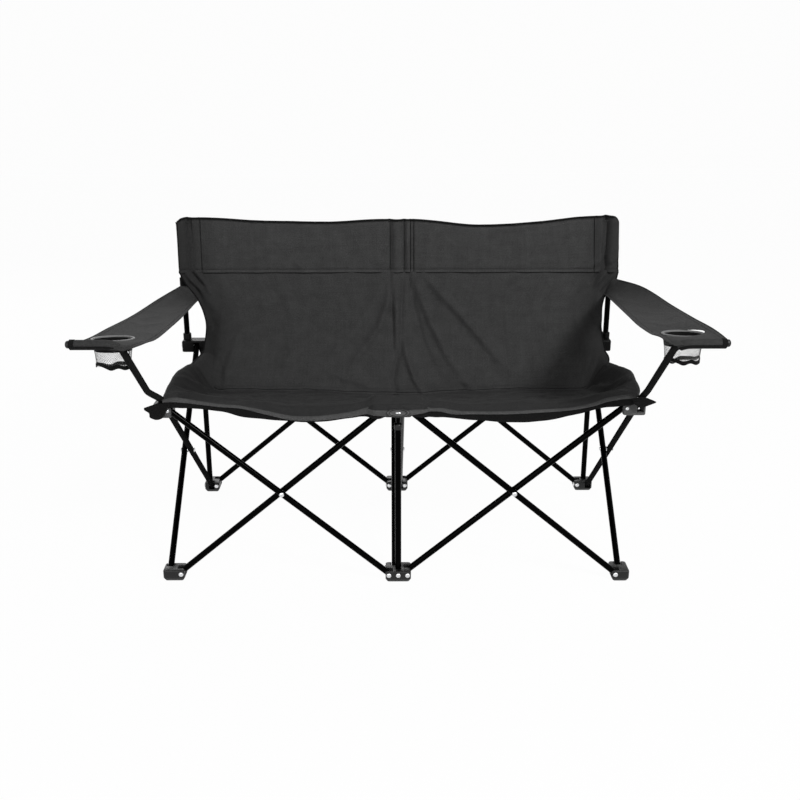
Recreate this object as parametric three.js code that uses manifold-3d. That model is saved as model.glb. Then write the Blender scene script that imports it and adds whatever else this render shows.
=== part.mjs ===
// Folding camping loveseat. Two bays of crossed steel tubes, pinned in plastic feet and hubs, fold
// towards the front centre foot and carry a seat, a back and two arm cloths with cup nets.
// Millimetres, +Z up, the sitter faces -Y. A corner is a foot with the hub above it: there are
// three columns of corners (left, centre, right) and two rows (front, rear).
import * as THREE from "three";
import { mergeVertices } from "three/addons/utils/BufferGeometryUtils.js";
import Module from "manifold-3d";

const wasm = await Module();
wasm.setup();

// Frame layout
const BAY = 538; // pin to pin, along each bay and from front to rear
const CORNER = 24; // from a corner's centre to the pins of its cross tubes
const FOOT_PIN_Z = 20;
const HUB_PIN_Z = 472;

// Tubes and rivets
const TUBE_R = 8;
const TUBE_WALL = 1.2;
const TUBE_END = 6; // tube beyond its end pin
const WASHER_SPACE = 2; // between two crossing tubes
const PIN_R = 3;
const HEAD_R = 6.5;
const HEAD_RISE = 2.6;
const WASHER_R = 7;
const GAP = 0.3; // between pieces that touch
const SLOT_GAP = 0.5; // beside a tube that turns in its slot
const OVERRUN = 80; // how far a cut runs past the solid

// Feet and hubs
const CHEEK = 5; // wall beside a slot
const BACK_WALL = 3.5; // wall behind a tube's end
const OPEN_REACH = 9; // how far the cheeks reach past the pin on the open side
const FOOT_HEIGHT = 31;
const SOLE_INSET = 4.5; // the sole is drawn in
const SOLE_RISE = 7.5;
const HUB_DROP = 18; // hub below its pins
const HUB_ROOF = 5;
const BLOCK_CORNER_R = 5;
const BLOCK_CHAMFER = 2;
const SOCKET_WALL = 3.7;
const BOSS_HEIGHT = 17;

// Telescoping posts and back posts
const ROD_R = 5.5;
const ROD_SOCKET = 9; // rod held in its hub
const POST_TOP_Z = 428;
const POST_ENGAGED = 70; // rod left in its tube when the frame is folded
const FOLD_DEG = 44; // how far each cross tube turns as the frame folds
const COLLAR_WALL = 2;
const COLLAR_GRIP = 11;
const COLLAR_LIP = 3;
const BACK_POST_OFFSET = 40; // outer back posts stand outboard of the rear corners
const BACK_POST_SEAT = 4; // back post's foot above the hub pins
const BACK_TOP_Z = 848;

// Arm tubes, beyond the front hubs
const ARM_STEP = 14; // the arm tube steps out this far past the corner
const ARM_RISE = 365; // along the tube, from the hub pin to the arm's bar
const JOG_START = 28;
const JOG_LENGTH = 70;
const ARM_BEND_R = 32;
const BAR_LENGTH = 74; // straight bar in the arm cloth's hem
const PLUG_FLANGE = 3;
const PLUG_TONGUE = 14;

// Cloth
const CLOTH = 2.4;
const SEAM_GAP = 0.6;
const SEAT_INSET = 22; // seat's sides inside the corners' centres
const SEAT_FRONT = 12; // front edge ahead of the front corners' centres
const FOLD_LINE_DEPTH = 285; // from the front edge to where the seat creases when folded
const SEAT_DEPTH = 405; // from the front edge to the seam with the back
const CREASE_DROP = 104; // seam with the back below the hub tops
const SEAT_SAG = 6;
const LIP_SAG = 25; // front edge between two hubs
const LIP_HEM = 24;
const SIDE_FLAP = 64; // width of the rising side of the seat
const BAND_HEIGHT = 160; // doubled band with the post sleeves
const BAND_MARGIN = 16; // band beyond the outer back posts
const BAND_DIP = 12; // top edge between two posts
const WAIST_INSET = 8; // back panel's waist inside the corners' centres

// Arm cloth, ring and net cup
const ARM_CENTRE_OFFSET = 30; // arm cloth's middle outside the arm tube
const ARM_HALF_WIDTH = 83;
const STRAP_HEIGHT = 45; // where the arm cloth wraps the back post
const STRAP_Z = 628;
const ARM_SAG = 7;
const CUP_OFFSET = 43.5; // cup's middle outside the arm tube
const CUP_INSET = 113; // cup's middle behind the bar
const RING_R = 49;
const RING_FLANGE = 3;
const COLLAR_R = 44;
const RING_WALL = 1.8;
const RING_DEPTH = 12;
const NET_WALL = 1.6;
const NET_DEPTH = 64;
const NET_TAPER = 6;

// Worked out from the sizes above
const LAYER = TUBE_R + WASHER_SPACE / 2; // each tube of a pair lies this far off their middle
const PITCH = BAY + 2 * CORNER; // corner to corner
const RISE = HUB_PIN_Z - FOOT_PIN_Z;
const ARM_X = PITCH + ARM_STEP;
const ARM_TIP_X = ARM_X + ARM_BEND_R + BAR_LENGTH;
const SEAT_HALF_WIDTH = PITCH - SEAT_INSET;
const WAIST_HALF_WIDTH = PITCH - WAIST_INSET;
const BAND_HALF_WIDTH = PITCH + BACK_POST_OFFSET + BAND_MARGIN;
const ARM_CENTRE_X = ARM_X + ARM_CENTRE_OFFSET;
const CUP_X = ARM_X + CUP_OFFSET;
const TUBE_SPAN = Math.hypot(BAY, RISE);
const TILT = Math.atan2(BAY, RISE); // cross tubes off the vertical, open
const LIFT = TUBE_SPAN * Math.cos(TILT - THREE.MathUtils.degToRad(FOLD_DEG)) - RISE;
const SLOT = TUBE_R + SLOT_GAP;
const REACH = Math.hypot(TUBE_R, TUBE_END) + SLOT_GAP;
const HUB_TOP = HUB_PIN_Z + REACH + HUB_ROOF;
const SEAT_Z = HUB_TOP + GAP + CLOTH / 2;
const FRONT_EDGE_Y = -PITCH / 2 - SEAT_FRONT;
const FOLD_LINE_Y = FRONT_EDGE_Y + FOLD_LINE_DEPTH;
const CREASE_Y = FRONT_EDGE_Y + SEAT_DEPTH;
const OFF_HUBS_Y = -PITCH / 2 + CORNER + OPEN_REACH + CLOTH; // seat is level this far back
const CREASE_Z = SEAT_Z - CREASE_DROP;
const SLEEVE_IN = TUBE_R + GAP;
const SLEEVE_OUT = SLEEVE_IN + CLOTH;
const BAND_Y = PITCH / 2 - SLEEVE_IN - CLOTH / 2;
const BAND_Z = BACK_TOP_Z - BAND_HEIGHT;
const ROW_Y = { front: -PITCH / 2, rear: PITCH / 2 };
const COLUMNS = { left: -1, centre: 0, right: 1 };

const steel = { roughness: 0.28, metalness: 0.4 };
const MATERIALS = {
  tube: new THREE.MeshStandardMaterial({ color: 0x141416, ...steel }),
  foot: new THREE.MeshStandardMaterial({ color: 0x17181a, roughness: 0.5 }),
  hub: new THREE.MeshStandardMaterial({ color: 0x5a5d60, roughness: 0.5 }),
  rivet: new THREE.MeshStandardMaterial({ color: 0xc4c6c8, roughness: 0.25, metalness: 1 }),
  cloth: new THREE.MeshStandardMaterial({ color: 0x37383a, roughness: 0.9 }),
  armCloth: new THREE.MeshStandardMaterial({ color: 0x434446, roughness: 0.9 }),
  ring: new THREE.MeshStandardMaterial({ color: 0x6f7174, roughness: 0.45 }),
  net: new THREE.MeshStandardMaterial({ color: 0xc9cacc, roughness: 0.8 }),
};

// Solids: closed triangle meshes that can be joined and cut
function solidOf(geometry) {
  const bare = geometry.clone();
  bare.deleteAttribute("normal");
  bare.deleteAttribute("uv");
  const merged = mergeVertices(bare, GAP / 1000);
  const corners = merged.index.array;
  const kept = [];
  for (let i = 0; i < corners.length; i += 3) {
    const [a, b, c] = [corners[i], corners[i + 1], corners[i + 2]];
    if (a !== b && b !== c && c !== a) kept.push(a, b, c);
  }
  return new wasm.Manifold(
    new wasm.Mesh({
      numProp: 3,
      vertProperties: new Float32Array(merged.attributes.position.array),
      triVerts: new Uint32Array(kept),
    }),
  );
}

function geometryOf(solid) {
  const mesh = solid.getMesh();
  const geometry = new THREE.BufferGeometry();
  const points = new Float32Array(mesh.vertProperties);
  geometry.setAttribute("position", new THREE.BufferAttribute(points, 3));
  geometry.setIndex(new THREE.BufferAttribute(new Uint32Array(mesh.triVerts), 1));
  return geometry;
}

function box(low, high) {
  const size = new THREE.Vector3().subVectors(high, low);
  const centre = new THREE.Vector3().addVectors(high, low).multiplyScalar(0.5);
  return solidOf(new THREE.BoxGeometry(size.x, size.y, size.z).translate(...centre));
}

// A round bar along the unit direction, from a start point
function bar(start, direction, length, radius, sides = 12) {
  const geometry = new THREE.CylinderGeometry(radius, radius, length, sides);
  geometry.translate(0, length / 2, 0);
  return solidOf(place(geometry, start, direction));
}

// Turns a geometry made along +Y to run along the direction from the start point
function place(geometry, start, direction) {
  const up = new THREE.Vector3(0, 1, 0);
  const turn = new THREE.Quaternion().setFromUnitVectors(up, direction);
  return geometry.applyQuaternion(turn).translate(start.x, start.y, start.z);
}

// A round rivet head on a face, domed away from it
function rivetHead(start, direction) {
  const profile = [
    new THREE.Vector2(0, -PIN_R),
    new THREE.Vector2(PIN_R, -PIN_R),
    new THREE.Vector2(PIN_R, 0),
    new THREE.Vector2(HEAD_R, 0),
    new THREE.Vector2(HEAD_R * 0.9, HEAD_RISE * 0.5),
    new THREE.Vector2(HEAD_R * 0.55, HEAD_RISE * 0.88),
    new THREE.Vector2(0, HEAD_RISE),
  ];
  return solidOf(place(new THREE.LatheGeometry(profile, 8), start, direction));
}

function roundedBlock(low, high, inset = BLOCK_CHAMFER, rise = BLOCK_CHAMFER) {
  const r = BLOCK_CORNER_R;
  const outline = new THREE.Shape();
  outline.absarc(high.x - r, high.y - r, r, 0, Math.PI / 2);
  outline.absarc(low.x + r, high.y - r, r, Math.PI / 2, Math.PI);
  outline.absarc(low.x + r, low.y + r, r, Math.PI, Math.PI * 1.5);
  outline.absarc(high.x - r, low.y + r, r, Math.PI * 1.5, Math.PI * 2);
  const geometry = new THREE.ExtrudeGeometry(outline, {
    depth: high.z - low.z - 2 * rise,
    bevelThickness: rise,
    bevelSize: inset,
    bevelOffset: -inset,
    bevelSegments: 1,
    curveSegments: 2,
  });
  return solidOf(geometry.translate(0, 0, low.z + rise));
}

const X_AXIS = new THREE.Vector3(1, 0, 0);
const Y_AXIS = new THREE.Vector3(0, 1, 0);
const Z_AXIS = new THREE.Vector3(0, 0, 1);
const point = (x, y, z) => new THREE.Vector3(x, y, z);

// Tubes: a ring section swept through a list of stations
class StationPath extends THREE.Curve {
  constructor(stations) {
    super();
    this.stations = stations;
  }
  getPoint(t) {
    const place = t * (this.stations.length - 1);
    const i = Math.min(Math.floor(place), this.stations.length - 2);
    return this.stations[i].clone().lerp(this.stations[i + 1], place - i);
  }
  getPointAt(u) {
    return this.getPoint(u);
  }
  getTangentAt(u) {
    const last = this.stations.length - 1;
    const i = Math.round(u * last);
    const before = this.stations[Math.max(i - 1, 0)];
    const after = this.stations[Math.min(i + 1, last)];
    return after.clone().sub(before).normalize();
  }
}

function ringShape(outer, inner) {
  const shape = new THREE.Shape();
  shape.absarc(0, 0, outer, 0, Math.PI * 2);
  const hole = new THREE.Path();
  hole.absarc(0, 0, inner, 0, Math.PI * 2);
  shape.holes.push(hole);
  return shape;
}

const TUBE_SIDES = 10;
function tube(stations, radius = TUBE_R, wall = TUBE_WALL) {
  const geometry = new THREE.ExtrudeGeometry(ringShape(radius, radius - wall), {
    extrudePath: new StationPath(stations),
    steps: stations.length - 1,
    curveSegments: TUBE_SIDES / 2,
    bevelEnabled: false,
  });
  return solidOf(geometry);
}

function drilled(solid, places, axis) {
  const sides = 6;
  const radius = (PIN_R + GAP) / Math.cos(Math.PI / sides);
  for (const place of places) {
    const start = place.clone().addScaledVector(axis, -2 * TUBE_R);
    solid = solid.subtract(bar(start, axis, 4 * TUBE_R, radius, sides));
  }
  return solid;
}

// The model, filled below
const loveseat = new THREE.Group();
const frame = new THREE.Group();
loveseat.add(frame);

function add(name, solid, material) {
  const mesh = new THREE.Mesh(geometryOf(solid), material);
  mesh.name = name;
  frame.add(mesh);
}

// Pins of a corner, from its centre. A tube that falls to the right across a bay lies in front of
// the one that rises, and the side tube that rises to the rear lies to the left of its partner.
function pinsOf(level, column, row) {
  const side = row === "front" ? 1 : -1;
  const foot = level === "foot";
  const pins = [];
  if (column < 1) pins.push({ x: CORNER, y: foot ? LAYER : -LAYER, axis: "y", inward: 1 });
  if (column > -1) pins.push({ x: -CORNER, y: foot ? -LAYER : LAYER, axis: "y", inward: -1 });
  const leftward = foot === (row === "front");
  pins.push({
    x: leftward ? -LAYER : LAYER,
    y: side * CORNER,
    axis: "x",
    inward: side,
    through: !foot && row === "front" && column !== 0,
  });
  return pins;
}

// Room that a pin's slot needs in plan, as [low, high] along the tube and across it
function pinSpan(pin) {
  const back = REACH + BACK_WALL;
  const along = pin.inward > 0 ? [-back, OPEN_REACH] : [-OPEN_REACH, back];
  const across = [-SLOT - CHEEK, SLOT + CHEEK];
  const [x, y] = pin.axis === "y" ? [along, across] : [across, along];
  return { x: x.map((v) => v + pin.x), y: y.map((v) => v + pin.y) };
}

function cornerBlock(level, column, row, socketX) {
  const pins = pinsOf(level, column, row);
  const socketR = TUBE_R + GAP + SOCKET_WALL;
  const spans = pins.map(pinSpan);
  spans.push({ x: [-socketR, socketR], y: [-socketR, socketR] });
  if (socketX !== undefined) spans.push({ x: [socketX - socketR, socketX + socketR], y: [0, 0] });
  const foot = level === "foot";
  const pinZ = foot ? FOOT_PIN_Z : HUB_PIN_Z;
  const low = point(
    Math.min(...spans.map((s) => s.x[0])),
    Math.min(...spans.map((s) => s.y[0])),
    foot ? 0 : HUB_PIN_Z - HUB_DROP,
  );
  const high = point(
    Math.max(...spans.map((s) => s.x[1])),
    Math.max(...spans.map((s) => s.y[1])),
    foot ? FOOT_HEIGHT : HUB_TOP,
  );
  let solid = roundedBlock(low, high);
  if (foot) {
    const past = high.clone().add(point(0, 0, OVERRUN));
    solid = solid.intersect(roundedBlock(low, past, SOLE_INSET, SOLE_RISE));
  }
  for (const pin of pins) solid = cutSlot(solid, pin, pinZ, foot);
  for (const pin of pins) solid = addPin(solid, pin, pinZ, low);
  return { solid, low, high };
}

function cutSlot(solid, pin, pinZ, foot) {
  const slotBox = (along, up) => {
    const a = along.map((v) => v * pin.inward).sort((p, q) => p - q);
    const low = pin.axis === "y" ? point(a[0], -SLOT, up[0]) : point(-SLOT, a[0], up[0]);
    const high = pin.axis === "y" ? point(a[1], SLOT, up[1]) : point(SLOT, a[1], up[1]);
    const centre = point(pin.x, pin.y, pinZ);
    return box(low.add(centre), high.add(centre));
  };
  const up = foot ? [-REACH, OVERRUN] : [-OVERRUN, REACH];
  solid = solid.subtract(slotBox([-REACH, OVERRUN], up));
  if (pin.through) solid = solid.subtract(slotBox([-OVERRUN, REACH], [-REACH, OVERRUN]));
  return solid;
}

function addPin(solid, pin, pinZ, low) {
  const axis = pin.axis === "y" ? Y_AXIS : X_AXIS;
  const face = pin.axis === "y" ? low.y : low.x;
  const own = pin.axis === "y" ? pin.y : pin.x;
  const start = point(pin.x, pin.y, pinZ).addScaledVector(axis, face - own);
  const length = own + SLOT + CHEEK / 2 - face;
  return solid
    .add(bar(start, axis, length, PIN_R, 6))
    .add(rivetHead(start, axis.clone().negate()));
}

// Feet and hubs
for (const [columnName, column] of Object.entries(COLUMNS)) {
  for (const row of ["front", "rear"]) {
    const at = [column * PITCH, ROW_Y[row], 0];
    const floor = FOOT_PIN_Z - REACH;
    const hasPost = row === "rear" || column === 0;

    const foot = cornerBlock("foot", column, row);
    let footSolid = foot.solid;
    if (hasPost) {
      const hole = bar(point(0, 0, floor), Z_AXIS, OVERRUN, TUBE_R + GAP, 12);
      footSolid = footSolid.subtract(hole);
    }
    if (row === "front" && column === 0) {
      const face = point(0, foot.low.y, FOOT_PIN_Z);
      footSolid = footSolid.add(rivetHead(face, Y_AXIS.clone().negate()));
    }
    add(`foot_${row}_${columnName}`, footSolid.translate(at), MATERIALS.foot);

    const socketX = row === "rear" ? column * BACK_POST_OFFSET : undefined;
    const hub = cornerBlock("hub", column, row, socketX);
    let hubSolid = hub.solid;
    if (hasPost) {
      const hole = point(0, 0, hub.low.z - OVERRUN);
      const depth = OVERRUN + ROD_SOCKET + GAP;
      hubSolid = hubSolid.subtract(bar(hole, Z_AXIS, depth, ROD_R + GAP, 10));
    }
    if (row === "rear") {
      const seat = point(socketX, 0, HUB_PIN_Z + BACK_POST_SEAT - GAP);
      const boss = point(socketX, 0, seat.z - BACK_POST_SEAT);
      const bossHeight = HUB_TOP + BOSS_HEIGHT - boss.z;
      const bossR = TUBE_R + GAP + SOCKET_WALL;
      hubSolid = hubSolid
        .add(bar(boss, Z_AXIS, bossHeight, bossR, 16))
        .subtract(bar(seat, Z_AXIS, OVERRUN, TUBE_R + GAP, 12));
    }
    add(`hub_${row}_${columnName}`, hubSolid.translate(at), MATERIALS.hub);
  }
}

// Cross tubes: pins at both ends and a rivet at the middle, drilled along the axis
function crossTube(name, footPin, hubPin, axis) {
  const along = hubPin.clone().sub(footPin).normalize();
  const stations = [
    footPin.clone().addScaledVector(along, -TUBE_END),
    hubPin.clone().addScaledVector(along, TUBE_END),
  ];
  const middle = footPin.clone().lerp(hubPin, 0.5);
  add(name, drilled(tube(stations), [footPin, middle, hubPin], axis), MATERIALS.tube);
}

// A crossing rivet: two heads, a shank through both tubes and the washer between them
function crossingRivet(name, middle, axis) {
  const headAt = LAYER + TUBE_R + GAP;
  const washer = WASHER_SPACE / 2 - GAP;
  const profile = [
    new THREE.Vector2(0, -headAt - HEAD_RISE),
    new THREE.Vector2(HEAD_R * 0.6, -headAt - HEAD_RISE * 0.85),
    new THREE.Vector2(HEAD_R, -headAt),
    new THREE.Vector2(PIN_R, -headAt),
    new THREE.Vector2(PIN_R, -washer),
    new THREE.Vector2(WASHER_R, -washer),
    new THREE.Vector2(WASHER_R, washer),
    new THREE.Vector2(PIN_R, washer),
    new THREE.Vector2(PIN_R, headAt),
    new THREE.Vector2(HEAD_R, headAt),
    new THREE.Vector2(HEAD_R * 0.6, headAt + HEAD_RISE * 0.85),
    new THREE.Vector2(0, headAt + HEAD_RISE),
  ];
  const geometry = place(new THREE.LatheGeometry(profile, 8), middle, axis);
  add(name, solidOf(geometry), MATERIALS.rivet);
}

const MIDDLE_Z = (FOOT_PIN_Z + HUB_PIN_Z) / 2;

for (const row of ["front", "rear"]) {
  for (const [bay, from] of [["left", -PITCH], ["right", 0]]) {
    const near = from + CORNER;
    const far = near + BAY;
    const fore = ROW_Y[row] - LAYER;
    const aft = ROW_Y[row] + LAYER;
    const falls = [point(far, fore, FOOT_PIN_Z), point(near, fore, HUB_PIN_Z)];
    const rises = [point(near, aft, FOOT_PIN_Z), point(far, aft, HUB_PIN_Z)];
    crossTube(`${row}_tube_${bay}_fore`, ...falls, Y_AXIS);
    crossTube(`${row}_tube_${bay}_aft`, ...rises, Y_AXIS);
    crossingRivet(`rivet_${row}_${bay}`, point((near + far) / 2, ROW_Y[row], MIDDLE_Z), Y_AXIS);
  }
}

for (const [columnName, column] of Object.entries(COLUMNS)) {
  const x = column * PITCH;
  const low = [
    point(x - LAYER, ROW_Y.front + CORNER, FOOT_PIN_Z),
    point(x - LAYER, ROW_Y.rear - CORNER, HUB_PIN_Z),
  ];
  const high = [
    point(x + LAYER, ROW_Y.rear - CORNER, FOOT_PIN_Z),
    point(x + LAYER, ROW_Y.front + CORNER, HUB_PIN_Z),
  ];
  crossTube(`side_tube_${columnName}_low`, ...low, X_AXIS);
  if (column === 0) crossTube("side_tube_centre_high", ...high, X_AXIS);
  else armTube(columnName, column, ...high);
  crossingRivet(`rivet_side_${columnName}`, point(x, 0, MIDDLE_Z), X_AXIS);
}

// The arm tube runs on past the front hub, steps out to the arm and turns into the arm's bar
function armTube(name, side, footPin, hubPin) {
  const along = hubPin.clone().sub(footPin).normalize();
  const out = X_AXIS.clone().multiplyScalar(side);
  const step = side * ARM_X - hubPin.x;
  const stations = [footPin.clone().addScaledVector(along, -TUBE_END)];
  const jogSteps = 3;
  for (let i = 0; i <= jogSteps; i++) {
    const t = i / jogSteps;
    const ease = t * t * (3 - 2 * t);
    const p = hubPin.clone().addScaledVector(along, JOG_START + JOG_LENGTH * t);
    stations.push(p.addScaledVector(X_AXIS, step * ease));
  }
  const bendSteps = 4;
  const bendAt = hubPin.clone().addScaledVector(along, ARM_RISE - ARM_BEND_R);
  bendAt.x = side * ARM_X;
  for (let i = 0; i <= bendSteps; i++) {
    const turn = (i / bendSteps) * (Math.PI / 2);
    const p = bendAt.clone().addScaledVector(along, ARM_BEND_R * Math.sin(turn));
    stations.push(p.addScaledVector(out, ARM_BEND_R * (1 - Math.cos(turn))));
  }
  const tip = stations.at(-1).clone().setX(side * ARM_TIP_X);
  stations.push(tip);
  const middle = footPin.clone().lerp(hubPin, 0.5);
  const solid = drilled(tube(stations), [footPin, middle, hubPin], X_AXIS);
  add(`arm_tube_${name}`, solid, MATERIALS.tube);

  const bore = (TUBE_R - TUBE_WALL) * Math.cos(Math.PI / TUBE_SIDES) - GAP;
  const plug = [
    new THREE.Vector2(0, -PLUG_TONGUE),
    new THREE.Vector2(bore, -PLUG_TONGUE),
    new THREE.Vector2(bore, GAP),
    new THREE.Vector2(TUBE_R + GAP, GAP),
    new THREE.Vector2(TUBE_R + GAP, PLUG_FLANGE),
    new THREE.Vector2(TUBE_R * 0.7, PLUG_FLANGE + TUBE_R * 0.5),
    new THREE.Vector2(0, PLUG_FLANGE + TUBE_R * 0.6),
  ];
  const plugGeometry = place(new THREE.LatheGeometry(plug, 12), tip, out);
  add(`arm_plug_${name}`, solidOf(plugGeometry), MATERIALS.foot);
}

// Telescoping posts: the tube stands in the foot, the rod hangs in the hub
const POST_FLOOR = FOOT_PIN_Z - REACH + GAP;
const ROD_TOP = HUB_PIN_Z - HUB_DROP + ROD_SOCKET;
const ROD_BOTTOM = POST_TOP_Z - LIFT - POST_ENGAGED;
for (const [name, column, row] of [
  ["front_centre", 0, "front"],
  ["rear_left", -1, "rear"],
  ["rear_centre", 0, "rear"],
  ["rear_right", 1, "rear"],
]) {
  const at = [column * PITCH, ROW_Y[row], 0];
  const outer = tube([point(0, 0, POST_FLOOR), point(0, 0, POST_TOP_Z)]);
  add(`post_tube_${name}`, outer.translate(at), MATERIALS.tube);
  const rod = bar(point(0, 0, ROD_BOTTOM), Z_AXIS, ROD_TOP - ROD_BOTTOM, ROD_R, 10);
  add(`post_rod_${name}`, rod.translate(at), MATERIALS.tube);
  const grip = TUBE_R + GAP;
  const lipZ = POST_TOP_Z + GAP;
  const collar = [
    new THREE.Vector2(grip, POST_TOP_Z - COLLAR_GRIP),
    new THREE.Vector2(grip + COLLAR_WALL, POST_TOP_Z - COLLAR_GRIP),
    new THREE.Vector2(grip + COLLAR_WALL, lipZ),
    new THREE.Vector2(ROD_R + GAP + COLLAR_WALL, lipZ + COLLAR_LIP),
    new THREE.Vector2(ROD_R + GAP, lipZ + COLLAR_LIP),
    new THREE.Vector2(ROD_R + GAP, lipZ),
    new THREE.Vector2(grip, lipZ),
    new THREE.Vector2(grip, POST_TOP_Z - COLLAR_GRIP),
  ];
  const collarGeometry = new THREE.LatheGeometry(collar, 12).rotateX(Math.PI / 2);
  add(`post_collar_${name}`, solidOf(collarGeometry).translate(at), MATERIALS.foot);
}

// Back posts, in the bosses of the rear hubs
const BACK_POST_TOP = BACK_TOP_Z - CLOTH;
for (const [columnName, column] of Object.entries(COLUMNS)) {
  const x = column * (PITCH + BACK_POST_OFFSET);
  const bottom = point(x, ROW_Y.rear, HUB_PIN_Z + BACK_POST_SEAT);
  const post = tube([bottom, point(x, ROW_Y.rear, BACK_POST_TOP)]);
  add(`back_post_${columnName}`, post, MATERIALS.tube);
}

// A cloth: a grid of points made thick along its normals, closed all round
function sheet(across, down, at, thickness = CLOTH) {
  const centre = [];
  for (let j = 0; j <= down; j++) {
    for (let i = 0; i <= across; i++) centre.push(at(i / across, j / down));
  }
  const index = (i, j) => j * (across + 1) + i;
  const clamp = (v, high) => Math.min(Math.max(v, 0), high);
  const faces = [[], []];
  for (let j = 0; j <= down; j++) {
    for (let i = 0; i <= across; i++) {
      const left = centre[index(clamp(i - 1, across), j)];
      const right = centre[index(clamp(i + 1, across), j)];
      const back = centre[index(i, clamp(j - 1, down))];
      const ahead = centre[index(i, clamp(j + 1, down))];
      const u = right.clone().sub(left);
      const v = ahead.clone().sub(back);
      const normal = u.cross(v).normalize();
      const p = centre[index(i, j)];
      faces[0].push(p.clone().addScaledVector(normal, thickness / 2));
      faces[1].push(p.clone().addScaledVector(normal, -thickness / 2));
    }
  }
  const offset = centre.length;
  const triangles = [];
  const quad = (a, b, c, d) => triangles.push(a, b, c, a, c, d);
  for (let j = 0; j < down; j++) {
    for (let i = 0; i < across; i++) {
      const [a, b, c, d] = [index(i, j), index(i + 1, j), index(i + 1, j + 1), index(i, j + 1)];
      quad(a, b, c, d);
      quad(a + offset, d + offset, c + offset, b + offset);
    }
  }
  const rim = [];
  for (let i = 0; i < across; i++) rim.push(index(i, 0));
  for (let j = 0; j < down; j++) rim.push(index(across, j));
  for (let i = across; i > 0; i--) rim.push(index(i, down));
  for (let j = down; j > 0; j--) rim.push(index(0, j));
  rim.forEach((a, k) => {
    const b = rim[(k + 1) % rim.length];
    quad(b, a, a + offset, b + offset);
  });
  const geometry = new THREE.BufferGeometry();
  const points = faces.flat().flatMap((p) => [p.x, p.y, p.z]);
  geometry.setAttribute("position", new THREE.Float32BufferAttribute(points, 3));
  geometry.setIndex(triangles);
  return solidOf(geometry);
}

const { lerp, smoothstep } = THREE.MathUtils;

// Straight lines between the values, each at its share
function stepped(shares, values, t) {
  const i = Math.max(shares.findLastIndex((s, k) => s <= t && k < shares.length - 1), 0);
  return lerp(values[i], values[i + 1], (t - shares[i]) / (shares[i + 1] - shares[i]));
}
const HUB_HALF = CORNER + OPEN_REACH + CLOTH;
function betweenHubs(x) {
  const offColumn = Math.abs(x - Math.round(x / PITCH) * PITCH);
  return smoothstep(offColumn, HUB_HALF, PITCH / 2);
}
const flapShare = (x) => smoothstep(Math.abs(x), SEAT_HALF_WIDTH - SIDE_FLAP, SEAT_HALF_WIDTH);

// Seat: slung between the front hubs and the seam with the back, its sides rising to the line
// from front hub to rear hub
function seatPoint(x, y) {
  const t = (y - FRONT_EDGE_Y) / SEAT_DEPTH;
  const lip = LIP_SAG * betweenHubs(x) * (1 - t) ** 2;
  const slope = Math.max(y - OFF_HUBS_Y, 0) / (CREASE_Y - OFF_HUBS_Y);
  const sag = SEAT_SAG * Math.sin(Math.PI * slope);
  const slung = lerp(SEAT_Z, CREASE_Z, slope) - sag - lip;
  return point(x, y, lerp(slung, SEAT_Z, flapShare(x)));
}

const SEAT_COLUMNS = 24;
const FRONT_ROWS = 8;
const SEAT_ROW_SHARES = [0, 1 / 7, 1];
const SEAT_ROW_PLACES = [0, (OFF_HUBS_Y - FRONT_EDGE_Y) / FOLD_LINE_DEPTH, 1];
add(
  "seat_cloth_front",
  sheet(SEAT_COLUMNS, FRONT_ROWS, (u, v) => {
    const x = lerp(-SEAT_HALF_WIDTH, SEAT_HALF_WIDTH, u);
    const hem = 1 / FRONT_ROWS;
    const inner = (v - hem) / (1 - hem);
    if (inner > -hem / 2) {
      const share = stepped(SEAT_ROW_SHARES, SEAT_ROW_PLACES, Math.max(inner, 0));
      return seatPoint(x, lerp(FRONT_EDGE_Y, FOLD_LINE_Y - SEAM_GAP / 2, share));
    }
    const edge = seatPoint(x, FRONT_EDGE_Y);
    edge.z -= LIP_HEM * betweenHubs(x);
    edge.y -= CLOTH;
    return edge;
  }),
  MATERIALS.cloth,
);
add(
  "seat_cloth_rear",
  sheet(SEAT_COLUMNS, 3, (u, v) => {
    const x = lerp(-SEAT_HALF_WIDTH, SEAT_HALF_WIDTH, u);
    return seatPoint(x, lerp(FOLD_LINE_Y + SEAM_GAP / 2, CREASE_Y - SEAM_GAP, v));
  }),
  MATERIALS.cloth,
);

// Back panel: from the seam with the seat up to the band, its lower corners led back to the rear hubs
const PANEL_TOP = BAND_Z - SEAM_GAP;
const HUB_SHARE = (SEAT_Z - CREASE_Z) / (PANEL_TOP - CREASE_Z);
const FLAP_Y = ROW_Y.rear - CORNER - OPEN_REACH - CLOTH;
const PANEL_HALF_WIDTH_SHARES = [0, HUB_SHARE, 0.7, 0.86, 1];
const PANEL_HALF_WIDTHS = [
  SEAT_HALF_WIDTH,
  SEAT_HALF_WIDTH,
  WAIST_HALF_WIDTH,
  lerp(WAIST_HALF_WIDTH, BAND_HALF_WIDTH, 0.45),
  BAND_HALF_WIDTH,
];
function panelPoint(u, t) {
  const half = stepped(PANEL_HALF_WIDTH_SHARES, PANEL_HALF_WIDTHS, t);
  const x = lerp(-half, half, u);
  const bow = 0.5 * t + 0.5 * (1 - (1 - t) ** 2);
  const y = lerp(CREASE_Y + SEAM_GAP, BAND_Y, bow);
  const z = lerp(CREASE_Z + CLOTH / 2, PANEL_TOP, t);
  const flap = flapShare((x * SEAT_HALF_WIDTH) / half);
  const sideY = t < HUB_SHARE
    ? lerp(CREASE_Y + SEAM_GAP, FLAP_Y, t / HUB_SHARE)
    : lerp(FLAP_Y, BAND_Y, Math.min((t - HUB_SHARE) / (0.7 - HUB_SHARE), 1));
  const sideZ = t < HUB_SHARE ? SEAT_Z : z;
  return point(x, lerp(y, sideY, flap), lerp(z, Math.max(sideZ, z), flap));
}
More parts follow.
